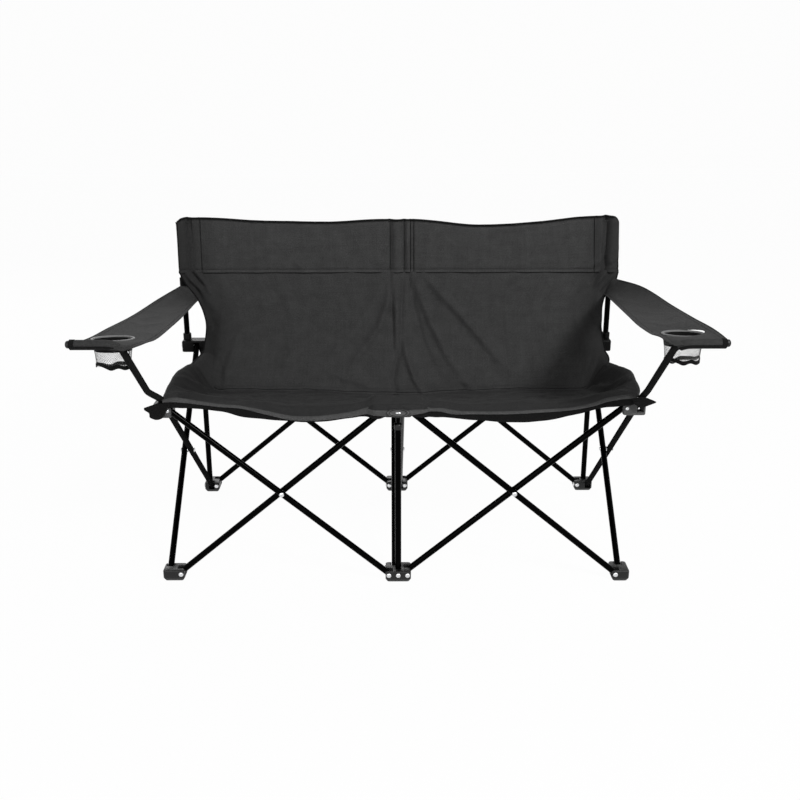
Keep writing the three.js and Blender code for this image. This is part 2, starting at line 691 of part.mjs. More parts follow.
add(
  "back_cloth_panel",
  sheet(SEAT_COLUMNS, 9, (u, v) => panelPoint(u, 1 - v)),
  MATERIALS.cloth,
);

// Band: one layer in front of the posts, with a sleeve round each post
let band = sheet(SEAT_COLUMNS, 3, (u, v) => {
  const x = lerp(-BAND_HALF_WIDTH, BAND_HALF_WIDTH, u);
  const post = (Math.PI * x) / (PITCH + BACK_POST_OFFSET);
  const dip = BAND_DIP * Math.sin(post) ** 2 * (1 - v);
  return point(x, BAND_Y, lerp(BACK_TOP_Z, BAND_Z, v) - dip);
});
for (const column of Object.values(COLUMNS)) {
  const foot = point(column * (PITCH + BACK_POST_OFFSET), ROW_Y.rear, BAND_Z);
  band = band.add(bar(foot, Z_AXIS, BAND_HEIGHT, SLEEVE_OUT, 16));
}
for (const column of Object.values(COLUMNS)) {
  const foot = point(column * (PITCH + BACK_POST_OFFSET), ROW_Y.rear, BAND_Z - CLOTH);
  band = band.subtract(bar(foot, Z_AXIS, BAND_HEIGHT + GAP, SLEEVE_IN, 16));
}
add("back_cloth_band", band, MATERIALS.cloth);

// Arms: a strip from the bar's hem to a strap round the back post, which turns upright on its way
const ALONG = point(0, -Math.sin(TILT), Math.cos(TILT));
const HUB_PIN_Y = ROW_Y.front + CORNER;
const BAR_Y = HUB_PIN_Y + ARM_RISE * ALONG.y;
const BAR_Z = HUB_PIN_Z + ARM_RISE * ALONG.z;
const ARM_SHARES = [0, 0.02, 0.06, 0.13, 0.42, 0.65, 0.85, 1];
const INNER_SHARES = [-0.36, -0.74, -0.94, -1, -1.02, -0.9, -0.58, -0.05];
const OUTER_SHARES = [0.99, 0.98, 0.95, 0.9, 0.63, 0.42, 0.22, -0.05];
function armPoint(side, u, t) {
  const inner = ARM_CENTRE_X + ARM_HALF_WIDTH * stepped(ARM_SHARES, INNER_SHARES, t);
  const outer = ARM_CENTRE_X + ARM_HALF_WIDTH * stepped(ARM_SHARES, OUTER_SHARES, t);
  const y = lerp(BAR_Y, ROW_Y.rear - SLEEVE_IN - CLOTH / 2, t);
  const top = BAR_Z + SLEEVE_IN + CLOTH / 2;
  const middle = lerp(top, STRAP_Z, t) - ARM_SAG * Math.sin(Math.PI * t);
  const upright = (STRAP_HEIGHT - CLOTH) * (u - 0.5) * t ** 5;
  return point(side * lerp(inner, outer, u), y, middle + upright);
}
const CUP_SIDES = 20;
const CUP_SHARE = CUP_INSET / (ROW_Y.rear - SLEEVE_IN - BAR_Y);
for (const [name, side] of [["left", -1], ["right", 1]]) {
  const rows = [...ARM_SHARES.slice(0, 4), 0.2, 0.3, 0.42, 0.54, 0.65, 0.75, 0.85, 0.93, 1];
  const last = rows.length - 1;
  let arm = sheet(6, last, (u, v) => {
    const edge = side > 0 ? u : 1 - u;
    return armPoint(side, edge, rows[Math.round(v * last)]);
  });
  const hemStart = point(side * (ARM_X + ARM_BEND_R + CLOTH), BAR_Y, BAR_Z);
  const out = X_AXIS.clone().multiplyScalar(side);
  const hemLength = BAR_LENGTH - 2 * CLOTH;
  const strapFoot = point(
    side * (PITCH + BACK_POST_OFFSET),
    ROW_Y.rear,
    STRAP_Z - STRAP_HEIGHT / 2,
  );
  arm = arm
    .add(bar(hemStart, out, hemLength, SLEEVE_OUT, 16))
    .add(bar(strapFoot, Z_AXIS, STRAP_HEIGHT, SLEEVE_OUT, 16));
  const hemCut = hemStart.clone().addScaledVector(out, -OVERRUN);
  const strapCut = strapFoot.clone().addScaledVector(Z_AXIS, -OVERRUN);
  arm = arm
    .subtract(bar(hemCut, out, hemLength + 2 * OVERRUN, SLEEVE_IN, 16))
    .subtract(bar(strapCut, Z_AXIS, STRAP_HEIGHT + 2 * OVERRUN, SLEEVE_IN, 16));

  // Ring and net sit square to the cloth at the cup's place
  const here = armPoint(side, 0.5, CUP_SHARE);
  const ahead = armPoint(side, 0.5, CUP_SHARE - 0.02);
  const lean = Math.atan2(ahead.z - here.z, here.y - ahead.y);
  const cupUp = point(0, Math.sin(lean), Math.cos(lean));
  const cupAt = point(side * CUP_X, here.y, here.z);
  const hole = cupAt.clone().addScaledVector(cupUp, -OVERRUN / 2);
  arm = arm.subtract(bar(hole, cupUp, OVERRUN, COLLAR_R + 2 * GAP + NET_WALL, CUP_SIDES));
  add(`arm_cloth_${name}`, arm, MATERIALS.armCloth);

  const flangeZ = CLOTH / 2 + GAP;
  const ring = [
    new THREE.Vector2(COLLAR_R, flangeZ),
    new THREE.Vector2(RING_R, flangeZ),
    new THREE.Vector2(RING_R - RING_FLANGE / 3, flangeZ + RING_FLANGE),
    new THREE.Vector2(COLLAR_R - RING_WALL / 2, flangeZ + RING_FLANGE),
    new THREE.Vector2(COLLAR_R - RING_WALL, flangeZ + RING_FLANGE / 2),
    new THREE.Vector2(COLLAR_R - RING_WALL, -RING_DEPTH),
    new THREE.Vector2(COLLAR_R, -RING_DEPTH),
    new THREE.Vector2(COLLAR_R, flangeZ),
  ];
  const ringGeometry = place(new THREE.LatheGeometry(ring, CUP_SIDES), cupAt, cupUp);
  add(`cup_ring_${name}`, solidOf(ringGeometry), MATERIALS.ring);

  const netR = COLLAR_R + GAP;
  const bottomR = netR - NET_TAPER;
  const net = [
    new THREE.Vector2(0, -NET_DEPTH),
    new THREE.Vector2(bottomR + NET_WALL, -NET_DEPTH),
    new THREE.Vector2(netR + NET_WALL, 0),
    new THREE.Vector2(netR, 0),
    new THREE.Vector2(netR, -RING_DEPTH),
    new THREE.Vector2(bottomR, -NET_DEPTH + NET_WALL),
    new THREE.Vector2(0, -NET_DEPTH + NET_WALL),
  ];
  const netGeometry = place(new THREE.LatheGeometry(net, CUP_SIDES), cupAt, cupUp);
  add(`cup_net_${name}`, solidOf(netGeometry), MATERIALS.net);
}

// The origin is on the ground, under the middle of the whole loveseat
const reach = new THREE.Box3().setFromObject(frame);
const middle = reach.getCenter(new THREE.Vector3());
frame.position.set(-middle.x, -middle.y, -reach.min.z);

export default loveseat;
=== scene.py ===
# %% [markdown]
# A folding camping loveseat, dressed for the camera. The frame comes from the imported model, and each
# visible piece is built over it: round tubes in place of faceted ones, moulded feet and hubs, bright
# rivets, a slung cloth seat and back, arm cloths and net cups. Everything is in metres.

# %% Load the frame
import math

import bpy
import numpy as np
from mathutils import Matrix, Vector, noise


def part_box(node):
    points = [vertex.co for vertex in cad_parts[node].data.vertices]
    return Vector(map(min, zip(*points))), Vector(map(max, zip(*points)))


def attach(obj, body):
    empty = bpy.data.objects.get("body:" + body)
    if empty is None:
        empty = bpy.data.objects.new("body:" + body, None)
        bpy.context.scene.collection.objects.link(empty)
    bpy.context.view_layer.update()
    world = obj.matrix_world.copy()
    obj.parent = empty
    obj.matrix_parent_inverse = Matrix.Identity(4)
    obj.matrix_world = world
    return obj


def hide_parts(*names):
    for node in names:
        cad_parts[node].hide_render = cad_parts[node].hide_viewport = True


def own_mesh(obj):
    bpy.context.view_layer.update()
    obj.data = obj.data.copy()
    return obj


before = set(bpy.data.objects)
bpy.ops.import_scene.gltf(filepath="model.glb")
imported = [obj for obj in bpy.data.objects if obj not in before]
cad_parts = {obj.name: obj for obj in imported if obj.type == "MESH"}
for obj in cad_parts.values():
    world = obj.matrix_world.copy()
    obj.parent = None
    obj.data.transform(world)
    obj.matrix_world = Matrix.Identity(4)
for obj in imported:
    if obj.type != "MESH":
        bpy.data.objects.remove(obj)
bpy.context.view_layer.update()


# %% [markdown]
# The loveseat has three columns of corners and two rows. A corner is a foot with a hub above it. These
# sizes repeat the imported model's, so that each piece lands on its node. The rows' places are read from
# the posts that stand in the feet.

# %% Sizes of the frame
def middle_of(node):
    low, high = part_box(node)
    return (Vector(low) + Vector(high)) / 2


ROW_Y = {"front": middle_of("post_tube_front_centre").y, "rear": middle_of("post_tube_rear_centre").y}
MID_Y = (ROW_Y["front"] + ROW_Y["rear"]) / 2
COLUMNS = {"left": -1, "centre": 0, "right": 1}
SIDES = {"left": -1, "right": 1}
BAY = 0.538
CORNER = 0.024
PITCH = BAY + 2 * CORNER
HALF = PITCH / 2
FOOT_PIN_Z = 0.020
HUB_PIN_Z = 0.472
TUBE_R = 0.008
TUBE_WALL = 0.0012
TUBE_END = 0.006
LAYER = 0.009
PIN_R = 0.003
GAP = 0.0003
SLOT = 0.0085
CHEEK = 0.005
REACH = 0.0105
BACK_WALL = 0.0035
OPEN_REACH = 0.009
FOOT_HEIGHT = 0.031
HUB_BOTTOM = 0.454
HUB_TOP = 0.4875
BACK_POST_OFFSET = 0.040
BACK_POST_X = PITCH + BACK_POST_OFFSET
BACK_POST_TOP = 0.838
TILT = math.atan2(BAY, HUB_PIN_Z - FOOT_PIN_Z)
ARM_X = 0.600
ARM_RISE = 0.365
ARM_TIP_X = 0.706
ARM_BEND_R = 0.032
ALONG = Vector((0, -math.sin(TILT), math.cos(TILT)))
print("rows at", ROW_Y, "tilt", round(math.degrees(TILT), 2))


# %% [markdown]
# The camera stands where the photograph was taken from: about 2.65 m in front of the frame's middle,
# 1.3 m up and looking 19 degrees down. It was solved from the feet, hubs and posts in the picture.

# %% Camera
LENS_MM = 45.8
CAMERA_AHEAD = 2.653
CAMERA_HEIGHT = 1.3016
DOWN_DEG = 18.94
LEFTWARD_DEG = -0.479


def add_camera():
    data = bpy.data.cameras.new("camera")
    data.sensor_width = 36
    data.lens = LENS_MM
    camera = bpy.data.objects.new("camera", data)
    bpy.context.scene.collection.objects.link(camera)
    camera.location = (-0.015, MID_Y - CAMERA_AHEAD, CAMERA_HEIGHT)
    camera.rotation_euler = (math.radians(90 - DOWN_DEG), 0, math.radians(LEFTWARD_DEG))
    bpy.context.scene.camera = camera


add_camera()
print("camera", tuple(round(v, 3) for v in bpy.context.scene.camera.location), "metres")


# %% [markdown]
# Finishes come next. A node tree is easiest to read as a chain of small steps, so one helper adds nodes
# and another joins them. The first finish is powder coat: black, glossy and very slightly uneven.

# %% Helpers for node trees
class Tree:
    """The nodes of a material or of the world. An input is given by name, or by number if names repeat."""

    def __init__(self, owner):
        owner.use_nodes = True
        self.owner = owner
        self.nodes, self.links = owner.node_tree.nodes, owner.node_tree.links
        self.shader = self.nodes.get("Principled BSDF")

    def add(self, kind, settings=None, **inputs):
        node = self.nodes.new("ShaderNode" + kind)
        for key, value in (settings or {}).items():
            setattr(node, key, value)
        for key, value in inputs.items():
            self.put(node, key.replace("_", " "), value)
        return node

    def put(self, node, key, value):
        socket = node.inputs[int(key)] if key.isdigit() else node.inputs[key]
        if isinstance(value, bpy.types.NodeSocket):
            self.links.new(value, socket)
        else:
            socket.default_value = value

    def math(self, operation, *values):
        node = self.add("Math", {"operation": operation})
        for i, value in enumerate(values):
            self.put(node, str(i), value)
        return node.outputs[0]

    def mix_colours(self, share, one, two):
        node = self.add("Mix", {"data_type": "RGBA"})
        self.put(node, "0", share)
        self.put(node, "6", one)
        self.put(node, "7", two)
        return node.outputs[2]

    def spread(self, value, low, high, to_low, to_high):
        node = self.add("MapRange", Value=value, From_Min=low, From_Max=high)
        self.put(node, "To Min", to_low)
        self.put(node, "To Max", to_high)
        return node.outputs[0]

    def bump(self, height, strength, distance):
        node = self.add("Bump", Height=height, Strength=strength, Distance=distance)
        self.put(self.shader, "Normal", node.outputs[0])

    def finish(self, **inputs):
        for key, value in inputs.items():
            self.put(self.shader, key.replace("_", " "), value)
        return self.owner


def new_material(name):
    return Tree(bpy.data.materials.new(name))


def grey(level, tint=0.0):
    """level is the shade on a screen, from 0 to 255, and tint turns it a little towards blue."""
    linear = (level / 255) ** 2.2
    return (linear * (1 - tint), linear, linear * (1 + tint), 1)


print("screen shade 56 as linear light", round(grey(56)[0], 4))


# %% [markdown]
# The tubes are powder coated steel, and feet, hubs and rings are moulded nylon. Both could be one flat
# black, but in the photograph the tubes carry thin lines of light while the blocks stay matt, so each
# has its own roughness and a fine grain. The rivets are plated steel.

# %% Powder coat and moulded nylon
def powder_coat(name, shine, dark, light):
    tree = new_material(name)
    place = tree.add("TexCoord").outputs["Object"]
    peel = tree.add("TexNoise", Vector=place, Scale=900.0, Detail=2.0)
    patches = tree.add("TexNoise", Vector=place, Scale=35.0, Detail=4.0)
    scuffs = tree.spread(patches.outputs[0], 0.66, 0.74, 0.0, 0.55)
    colour = tree.mix_colours(scuffs, grey(dark), grey(light))
    roughness = tree.spread(patches.outputs[0], 0.3, 0.7, 0.09, 0.16)
    tree.bump(peel.outputs[0], 0.10, 0.0004)
    return tree.finish(Base_Color=colour, Roughness=roughness, Specular_IOR_Level=shine)


def moulded(name, level, roughness, gloss=0.35):
    tree = new_material(name)
    place = tree.add("TexCoord").outputs["Object"]
    fine = tree.add("TexNoise", Vector=place, Scale=1400.0, Detail=3.0)
    broad = tree.add("TexNoise", Vector=place, Scale=60.0, Detail=3.0)
    colour = tree.mix_colours(broad.outputs[0], grey(level * 0.9), grey(level * 1.12))
    rough = tree.spread(broad.outputs[0], 0.3, 0.7, roughness - 0.07, roughness + 0.08)
    tree.bump(fine.outputs[0], 0.35, 0.0003)
    return tree.finish(Base_Color=colour, Roughness=rough, Specular_IOR_Level=gloss)


def plated_steel():
    tree = new_material("plated_steel")
    place = tree.add("TexCoord").outputs["Object"]
    marks = tree.add("TexNoise", Vector=place, Scale=700.0, Detail=4.0)
    roughness = tree.spread(marks.outputs[0], 0.3, 0.7, 0.18, 0.38)
    tree.bump(marks.outputs[0], 0.15, 0.0002)
    return tree.finish(Base_Color=grey(214, 0.01), Metallic=1.0, Roughness=roughness)


TUBE_FINISH = powder_coat("powder_coat", 0.022, 7, 20)
# Painted highlight: the arm tubes are the same black coat, given a lighter grey and no shine in place of
# the broad grey light on their glossy faces.
ARM_TUBE_HIGHLIGHT_FINISH = powder_coat("arm_powder_coat_painted_highlight", 0.0, 36, 56)
FOOT_AND_SHADE_FINISH = moulded("black_nylon_and_painted_shade", 18, 0.42)
HUB_FINISH = moulded("grey_nylon", 78, 0.40, gloss=0.2)
REAR_HUB_FINISH = moulded("rear_hub_nylon", 12, 0.42, gloss=0.08)
HUB_CAP_FINISH = moulded("cap_nylon", 78, 0.34, gloss=0.2)
RING_FINISH = moulded("ring_nylon", 112, 0.45, gloss=0.12)
RIVET_FINISH = plated_steel()


# %% [markdown]
# The cloth is a plain weave of thick polyester yarn. Its places are given in metres by the mesh's UV
# map, so the yarn runs along the cloth wherever it hangs. Warp and weft each rise and dip as a sine,
# and a checker picks which of them is on top. Broad noise gives the slight mottling of dyed cloth.

# %% Woven cloth
YARN = 0.0011


def woven(name, level, sheen=0.02, yarn=YARN, width=None):
    """width is the cloth's width; the cloth is painted darker along its two sides, as painted shade."""
    tree = new_material(name)
    uv = tree.add("UVMap").outputs[0]
    parts = tree.add("SeparateXYZ", Vector=uv)
    turns = [tree.math("MULTIPLY", parts.outputs[i], math.pi / yarn) for i in (0, 1)]
    waves = [tree.math("ABSOLUTE", tree.math("SINE", turn)) for turn in turns]
    checker = tree.add("TexChecker", Vector=uv, Scale=1 / yarn)
    over = tree.add("Mix", {"data_type": "FLOAT"})
    tree.put(over, "0", checker.outputs["Fac"])
    tree.put(over, "2", waves[0])
    tree.put(over, "3", waves[1])
    scaled = tree.add("Mapping", Vector=uv, Scale=(260.0, 9.0, 1.0))
    slubs = tree.add("TexNoise", Vector=scaled.outputs[0], Scale=1.0, Detail=2.0)
    crossed = tree.add("Mapping", Vector=uv, Scale=(9.0, 260.0, 1.0))
    weft = tree.add("TexNoise", Vector=crossed.outputs[0], Scale=1.0, Detail=2.0)
    mottle = tree.add("TexNoise", Vector=uv, Scale=30.0, Detail=6.0, Roughness=0.65)
    flecks = tree.add("TexNoise", Vector=uv, Scale=330.0, Detail=3.0, Roughness=0.6)
    yarns = tree.math("MULTIPLY", tree.math("ADD", slubs.outputs[0], weft.outputs[0]), 0.22)
    spots = tree.math("ADD", tree.math("MULTIPLY", mottle.outputs[0], 0.6), flecks.outputs[0])
    share = tree.spread(tree.math("ADD", yarns, spots), 0.72, 1.32, 0.0, 1.0)
    base = tree.mix_colours(share, grey(level * 0.84), grey(level * 1.18))
    # Painted shade: the weave is darker where each yarn dips under the other.
    valley_shade = tree.spread(over.outputs[0], 0.0, 0.55, 0.62, 0.0)
    colour = tree.mix_colours(valley_shade, base, grey(level * 0.55))
    # Painted shade: given a width, the colour darkens over the last 12 cm towards both sides.
    if width:
        u = parts.outputs[0]
        inward = tree.math("MINIMUM", u, tree.math("SUBTRACT", width, u))
        side_shade = tree.spread(inward, 0.0, 0.12, 0.85, 0.0)
        colour = tree.mix_colours(side_shade, colour, grey(level * 0.70))
    crinkle = tree.add("TexNoise", Vector=uv, Scale=75.0, Detail=6.0, Roughness=0.68)
    crinkled = tree.math("MULTIPLY", crinkle.outputs[0], 2.2)
    height = tree.math("MULTIPLY_ADD", over.outputs[0], 0.30, crinkled)
    tree.bump(height, 0.5, 0.0011)
    return tree.finish(Base_Color=colour, Roughness=0.88, Sheen_Weight=sheen, Sheen_Roughness=0.5,
                       Specular_IOR_Level=0.12)


# The seat, back panel, band and arms are one cloth. Their copies differ in level to paint the light each
# part gets: the seat darker as painted shade, the band, panel and arms lighter as painted light.
CLOTH_FINISH = woven("oxford_cloth", 56)
SEAT_SHADED_FINISH = woven("seat_shaded_oxford_cloth", 48, width=1.16)
PANEL_LIT_FINISH = woven("panel_lit_oxford_cloth", 61, width=1.20)
BAND_LIT_FINISH = woven("band_lit_oxford_cloth", 66, width=1.28)
ARM_LIT_FINISH = woven("arm_lit_oxford_cloth", 58)
LINING_AND_SHADE_FINISH = woven("lining_cloth_and_painted_shade", 22, sheen=0.01)
TAPE_AND_SHADE_FINISH = woven("edge_tape_and_painted_shade", 24, sheen=0.01, yarn=0.0008)
LIP_FINISH = woven("lip_tape", 77, sheen=0.02, yarn=0.0008)
NET_FINISH = moulded("net_yarn", 120, 0.6)
NET_HEM_FINISH = woven("net_hem_tape", 22, sheen=0.01, yarn=0.0008)
THREAD_FINISH = moulded("sewing_thread", 22, 0.6)
print("finishes", sorted(m.name for m in bpy.data.materials))


# %% [markdown]
# Meshes are made from lists of points and faces. Three makers cover most of the frame: a sweep that
# pushes a section along a path, a lathe that spins a profile, and a sheet on a grid.

# %% Mesh helpers
def mesh_object(name, points, faces, material, sharp=35, uvs=None):
    mesh = bpy.data.meshes.new(name)
    mesh.from_pydata([tuple(p) for p in points], [], faces)
    if uvs is not None:
        layer = mesh.uv_layers.new(name="UVMap")
        corners = np.zeros(len(mesh.loops), dtype=np.int32)
        mesh.loops.foreach_get("vertex_index", corners)
        layer.data.foreach_set("uv", np.asarray(uvs, dtype=np.float32)[corners].ravel())
    mesh.materials.append(material)
    mesh.shade_smooth()
    mesh.set_sharp_from_angle(angle=math.radians(sharp))
    obj = bpy.data.objects.new(name, mesh)
    bpy.context.scene.collection.objects.link(obj)
    return obj


def apply_modifiers(obj):
    graph = bpy.context.evaluated_depsgraph_get()
    mesh = bpy.data.meshes.new_from_object(obj.evaluated_get(graph))
    obj.modifiers.clear()
    obj.data = mesh
    return obj


UP = Vector((0, 0, 1))
BACKWARD = Vector((0, 1, 0))


def frames_along(points, up):
    frames = []
    last = len(points) - 1
    side = None
    for i, point in enumerate(points):
        ahead = (points[min(i + 1, last)] - points[max(i - 1, 0)]).normalized()
        if side is None:
            hint = up if abs(ahead.dot(up)) < 0.95 else BACKWARD
            side = ahead.cross(hint).normalized()
        else:
            side = (side - ahead * side.dot(ahead)).normalized()
        frames.append((side, side.cross(ahead).normalized()))
    return frames


def circle(radius, sides):
    turns = [2 * math.pi * i / sides for i in range(sides)]
    return [(radius * math.cos(t), radius * math.sin(t)) for t in turns]


def swept(points, outline, up=UP):
    verts, faces = [], []
    n = len(outline)
    for point, (side, lift) in zip(points, frames_along(points, up)):
        verts += [point + side * a + lift * b for a, b in outline]
    for i in range(len(points) - 1):
        for k in range(n):
            a, b = i * n + k, i * n + (k + 1) % n
            faces.append((a, b, b + n, a + n))
    return verts, faces


def capped(verts, faces, count):
    last = len(verts) - count
    return verts, faces + [tuple(range(count))[::-1], tuple(range(last, last + count))]


def shell(outer, inner, faces, sides):
    """Joins an outer and an inner sweep, which share their faces, at both of their open ends."""
    shift = len(outer)
    end = shift - sides
    faces = faces + [tuple(reversed([i + shift for i in f])) for f in faces]
    for k in range(sides):
        j = (k + 1) % sides
        faces.append((j, k, k + shift, j + shift))
        faces.append((end + k, end + j, end + j + shift, end + k + shift))
    return outer + inner, faces


def hollow_tube(points, radius, wall, sides=24):
    outer, faces = swept(points, circle(radius, sides))
    inner, _ = swept(points, circle(radius - wall, sides))
    return shell(outer, inner, faces, sides)


def turned_to(direction):
    return UP.rotation_difference(Vector(direction)).to_matrix()


def lathe(profile, place, direction=UP, sides=32):
    turn = turned_to(direction)
    verts, faces, rings = [], [], []
    for radius, height in profile:
        if radius < 1e-7:
            rings.append([len(verts)] * sides)
            verts.append(place + turn @ Vector((0, 0, height)))
            continue
        rings.append([len(verts) + k for k in range(sides)])
        for x, y in circle(radius, sides):
            verts.append(place + turn @ Vector((x, y, height)))
    for low, high in zip(rings, rings[1:]):
        for k in range(sides):
            j = (k + 1) % sides
            quad = [low[k], low[j], high[j], high[k]]
            face = [v for i, v in enumerate(quad) if v != quad[i - 1]]
            if len(face) > 2:
                faces.append(tuple(face))
    return verts, faces


def tell(what, *starts):
    made = [o for o in bpy.data.objects if o.type == "MESH" and o.name.startswith(starts)]
    faces = sum(len(o.data.polygons) for o in made)
    print(what, len(made), "pieces", faces, "faces")


def dress(obj, body, slot, *nodes):
    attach(obj, body)
    if nodes:
        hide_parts(*nodes)
    return obj


# %% [markdown]
# Each cross tube runs from a foot pin to a hub pin and a little past both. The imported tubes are
# twelve-sided, which shows on gloss, so round ones stand for them. A tube that falls to the right lies
# in front of its partner in both rows.

# %% Cross tubes
def at(x, y, z):
    return Vector((x, y + MID_Y, z))


def straight(foot_pin, hub_pin):
    along = (hub_pin - foot_pin).normalized()
    return [foot_pin - along * TUBE_END, hub_pin + along * TUBE_END]


def add_tube(node, points, body, finish=TUBE_FINISH):
    obj = mesh_object(node + "_round", *hollow_tube(points, TUBE_R, TUBE_WALL), finish)
    return dress(obj, body, "tube", node)


ROWS = {"front": -HALF, "rear": HALF}
for row, y in ROWS.items():
    for bay, start in (("left", -PITCH), ("right", 0.0)):
        near, far = start + CORNER, start + CORNER + BAY
        falls = straight(at(far, y - LAYER, FOOT_PIN_Z), at(near, y - LAYER, HUB_PIN_Z))
        rises = straight(at(near, y + LAYER, FOOT_PIN_Z), at(far, y + LAYER, HUB_PIN_Z))
        add_tube(f"{row}_tube_{bay}_fore", falls, f"{row}_{bay}_fore")
        add_tube(f"{row}_tube_{bay}_aft", rises, f"{row}_{bay}_aft")
for name, column in COLUMNS.items():
    x = column * PITCH
    low = straight(at(x - LAYER, CORNER - HALF, FOOT_PIN_Z), at(x - LAYER, HALF - CORNER, HUB_PIN_Z))
    add_tube(f"side_tube_{name}_low", low, f"side_{name}_low")
    if column == 0:
        feet, hubs = at(LAYER, HALF - CORNER, FOOT_PIN_Z), at(LAYER, CORNER - HALF, HUB_PIN_Z)
        add_tube("side_tube_centre_high", straight(feet, hubs), "side_centre_high")
tell("cross tubes", "front_tube_", "rear_tube_", "side_tube_")


# %% [markdown]
# The outer side tubes are the arm tubes too. Past the front hub the tube steps outward, runs up and
# forward, and bends into a short bar that lies in the arm cloth's front hem. A black plug closes it.

# %% Arm tubes
STEP_START = 0.028
STEP_LENGTH = 0.070
STEP_POINTS = 12
BEND_POINTS = 14


def arm_path(side):
    foot_pin = at(side * PITCH + LAYER, HALF - CORNER, FOOT_PIN_Z)
    hub_pin = at(side * PITCH + LAYER, CORNER - HALF, HUB_PIN_Z)
    step = side * ARM_X - hub_pin.x
    points = [foot_pin - ALONG * TUBE_END]
    for i in range(STEP_POINTS + 1):
        t = i / STEP_POINTS
        p = hub_pin + ALONG * (STEP_START + STEP_LENGTH * t)
        points.append(p + Vector((step * t * t * (3 - 2 * t), 0, 0)))
    bend = hub_pin + ALONG * (ARM_RISE - ARM_BEND_R)
    bend.x = side * ARM_X
    for i in range(BEND_POINTS + 1):
        turn = i / BEND_POINTS * math.pi / 2
        out = Vector((side * ARM_BEND_R * (1 - math.cos(turn)), 0, 0))
        points.append(bend + ALONG * (ARM_BEND_R * math.sin(turn)) + out)
    points.append(Vector((side * ARM_TIP_X, points[-1].y, points[-1].z)))
    return points


BAR_Y = CORNER - HALF + ARM_RISE * ALONG.y
BAR_Z = HUB_PIN_Z + ARM_RISE * ALONG.z
PLUG = [(0, -0.012), (0.0064, -0.012), (0.0064, 0.0003), (0.0084, 0.0003), (0.0084, 0.003),
        (0.0078, 0.0052), (0.0060, 0.0070), (0.0035, 0.0080), (0, 0.0083)]
for name, side in SIDES.items():
    add_tube(f"arm_tube_{name}", arm_path(side), f"arm_tube_{name}", ARM_TUBE_HIGHLIGHT_FINISH)
    tip = at(side * ARM_TIP_X, BAR_Y, BAR_Z)
    plug = mesh_object(f"arm_plug_{name}_round", *lathe(PLUG, tip, (side, 0, 0)), FOOT_AND_SHADE_FINISH)
    dress(plug, f"arm_tube_{name}", "foot", f"arm_plug_{name}")
tell("arm tubes and plugs", "arm_tube_", "arm_plug_")


# %% [markdown]
# Four posts telescope: a tube in the foot, a thinner rod in the hub and a collar where they meet. Three
# back posts stand in the rear hubs and carry the back cloth in sleeves.

# %% Posts
ROD_R = 0.0055
ROD_TOP_Z = 0.470
POST_LOW_Z = 0.0098
POST_TOP_Z = 0.428
BACK_POST_LOW_Z = 0.476
COLLAR = [(0.0083, -0.012), (0.0100, -0.012), (0.0104, -0.011), (0.0104, -0.001), (0.0098, 0.0008),
          (0.0072, 0.0032), (0.0058, 0.0032), (0.0058, 0.0004), (0.0083, 0.0004), (0.0083, -0.012)]


def solid_rod(name, start, end, radius, finish, sides=24):
    verts, faces = swept([start, end], circle(radius, sides))
    return mesh_object(name, *capped(verts, faces, sides), finish)


for row, column_name in (("front", "centre"), ("rear", "left"), ("rear", "centre"), ("rear", "right")):
    name, x, y = f"{row}_{column_name}", COLUMNS[column_name] * PITCH, ROWS[row]
    add_tube(f"post_tube_{name}", [at(x, y, POST_LOW_Z), at(x, y, POST_TOP_Z)], f"foot_{name}")
    rod_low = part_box(f"post_rod_{name}")[0][2]
    rod = solid_rod(f"post_rod_{name}_round", at(x, y, rod_low), at(x, y, ROD_TOP_Z), ROD_R, TUBE_FINISH)
    dress(rod, f"hub_{name}", "tube", f"post_rod_{name}")
    collar = mesh_object(f"post_collar_{name}_round", *lathe(COLLAR, at(x, y, POST_TOP_Z)), FOOT_AND_SHADE_FINISH)
    dress(collar, f"foot_{name}", "foot", f"post_collar_{name}")
for name, column in COLUMNS.items():
    x = column * BACK_POST_X
    post = [at(x, HALF, BACK_POST_LOW_Z), at(x, HALF, BACK_POST_TOP)]
    add_tube(f"back_post_{name}", post, f"hub_rear_{name}")
tell("posts", "post_", "back_post_")


# %% [markdown]
# Feet and hubs are moulded blocks with slots that the tubes turn in. Each is a stack of rounded
# outlines, so its edges are soft and a foot's sole is drawn in, and the slots are cut by booleans.

# %% Moulded blocks
CORNER_R = 0.006


def rounded_outline(low, high, radius, steps=5):
    points = []
    left, right, near, far = low[0] + radius, high[0] - radius, low[1] + radius, high[1] - radius
    centres = [(right, far), (left, far), (left, near), (right, near)]
    for quarter, (cx, cy) in enumerate(centres):
        for i in range(steps + 1):
            turn = (quarter + i / steps) * math.pi / 2
            points.append((cx + radius * math.cos(turn), cy + radius * math.sin(turn)))
    return points


def stacked(name, low, high, levels, material):
    verts, faces = [], []
    for z, inset in levels:
        outline = rounded_outline((low[0] + inset, low[1] + inset), (high[0] - inset, high[1] - inset),
                                  max(CORNER_R - inset * 0.4, 0.002))
        verts += [Vector((x, y, z)) for x, y in outline]
    n = len(verts) // len(levels)
    for i in range(len(levels) - 1):
        for k in range(n):
            a, b = i * n + k, i * n + (k + 1) % n
            faces.append((a, b, b + n, a + n))
    return mesh_object(name, *capped(verts, faces, n), material)


def box_cutter(low, high):
    xs, ys, zs = zip(low, high)
    points = [Vector((x, y, z)) for x in xs for y in ys for z in zs]
    faces = [(0, 1, 3, 2), (4, 6, 7, 5), (0, 4, 5, 1), (2, 3, 7, 6), (0, 2, 6, 4), (1, 5, 7, 3)]
    return mesh_object("cutter", points, faces, FOOT_AND_SHADE_FINISH)


def round_cutter(x, y, low, high, radius):
    return solid_rod("cutter", Vector((x, y, low)), Vector((x, y, high)), radius, FOOT_AND_SHADE_FINISH, 32)


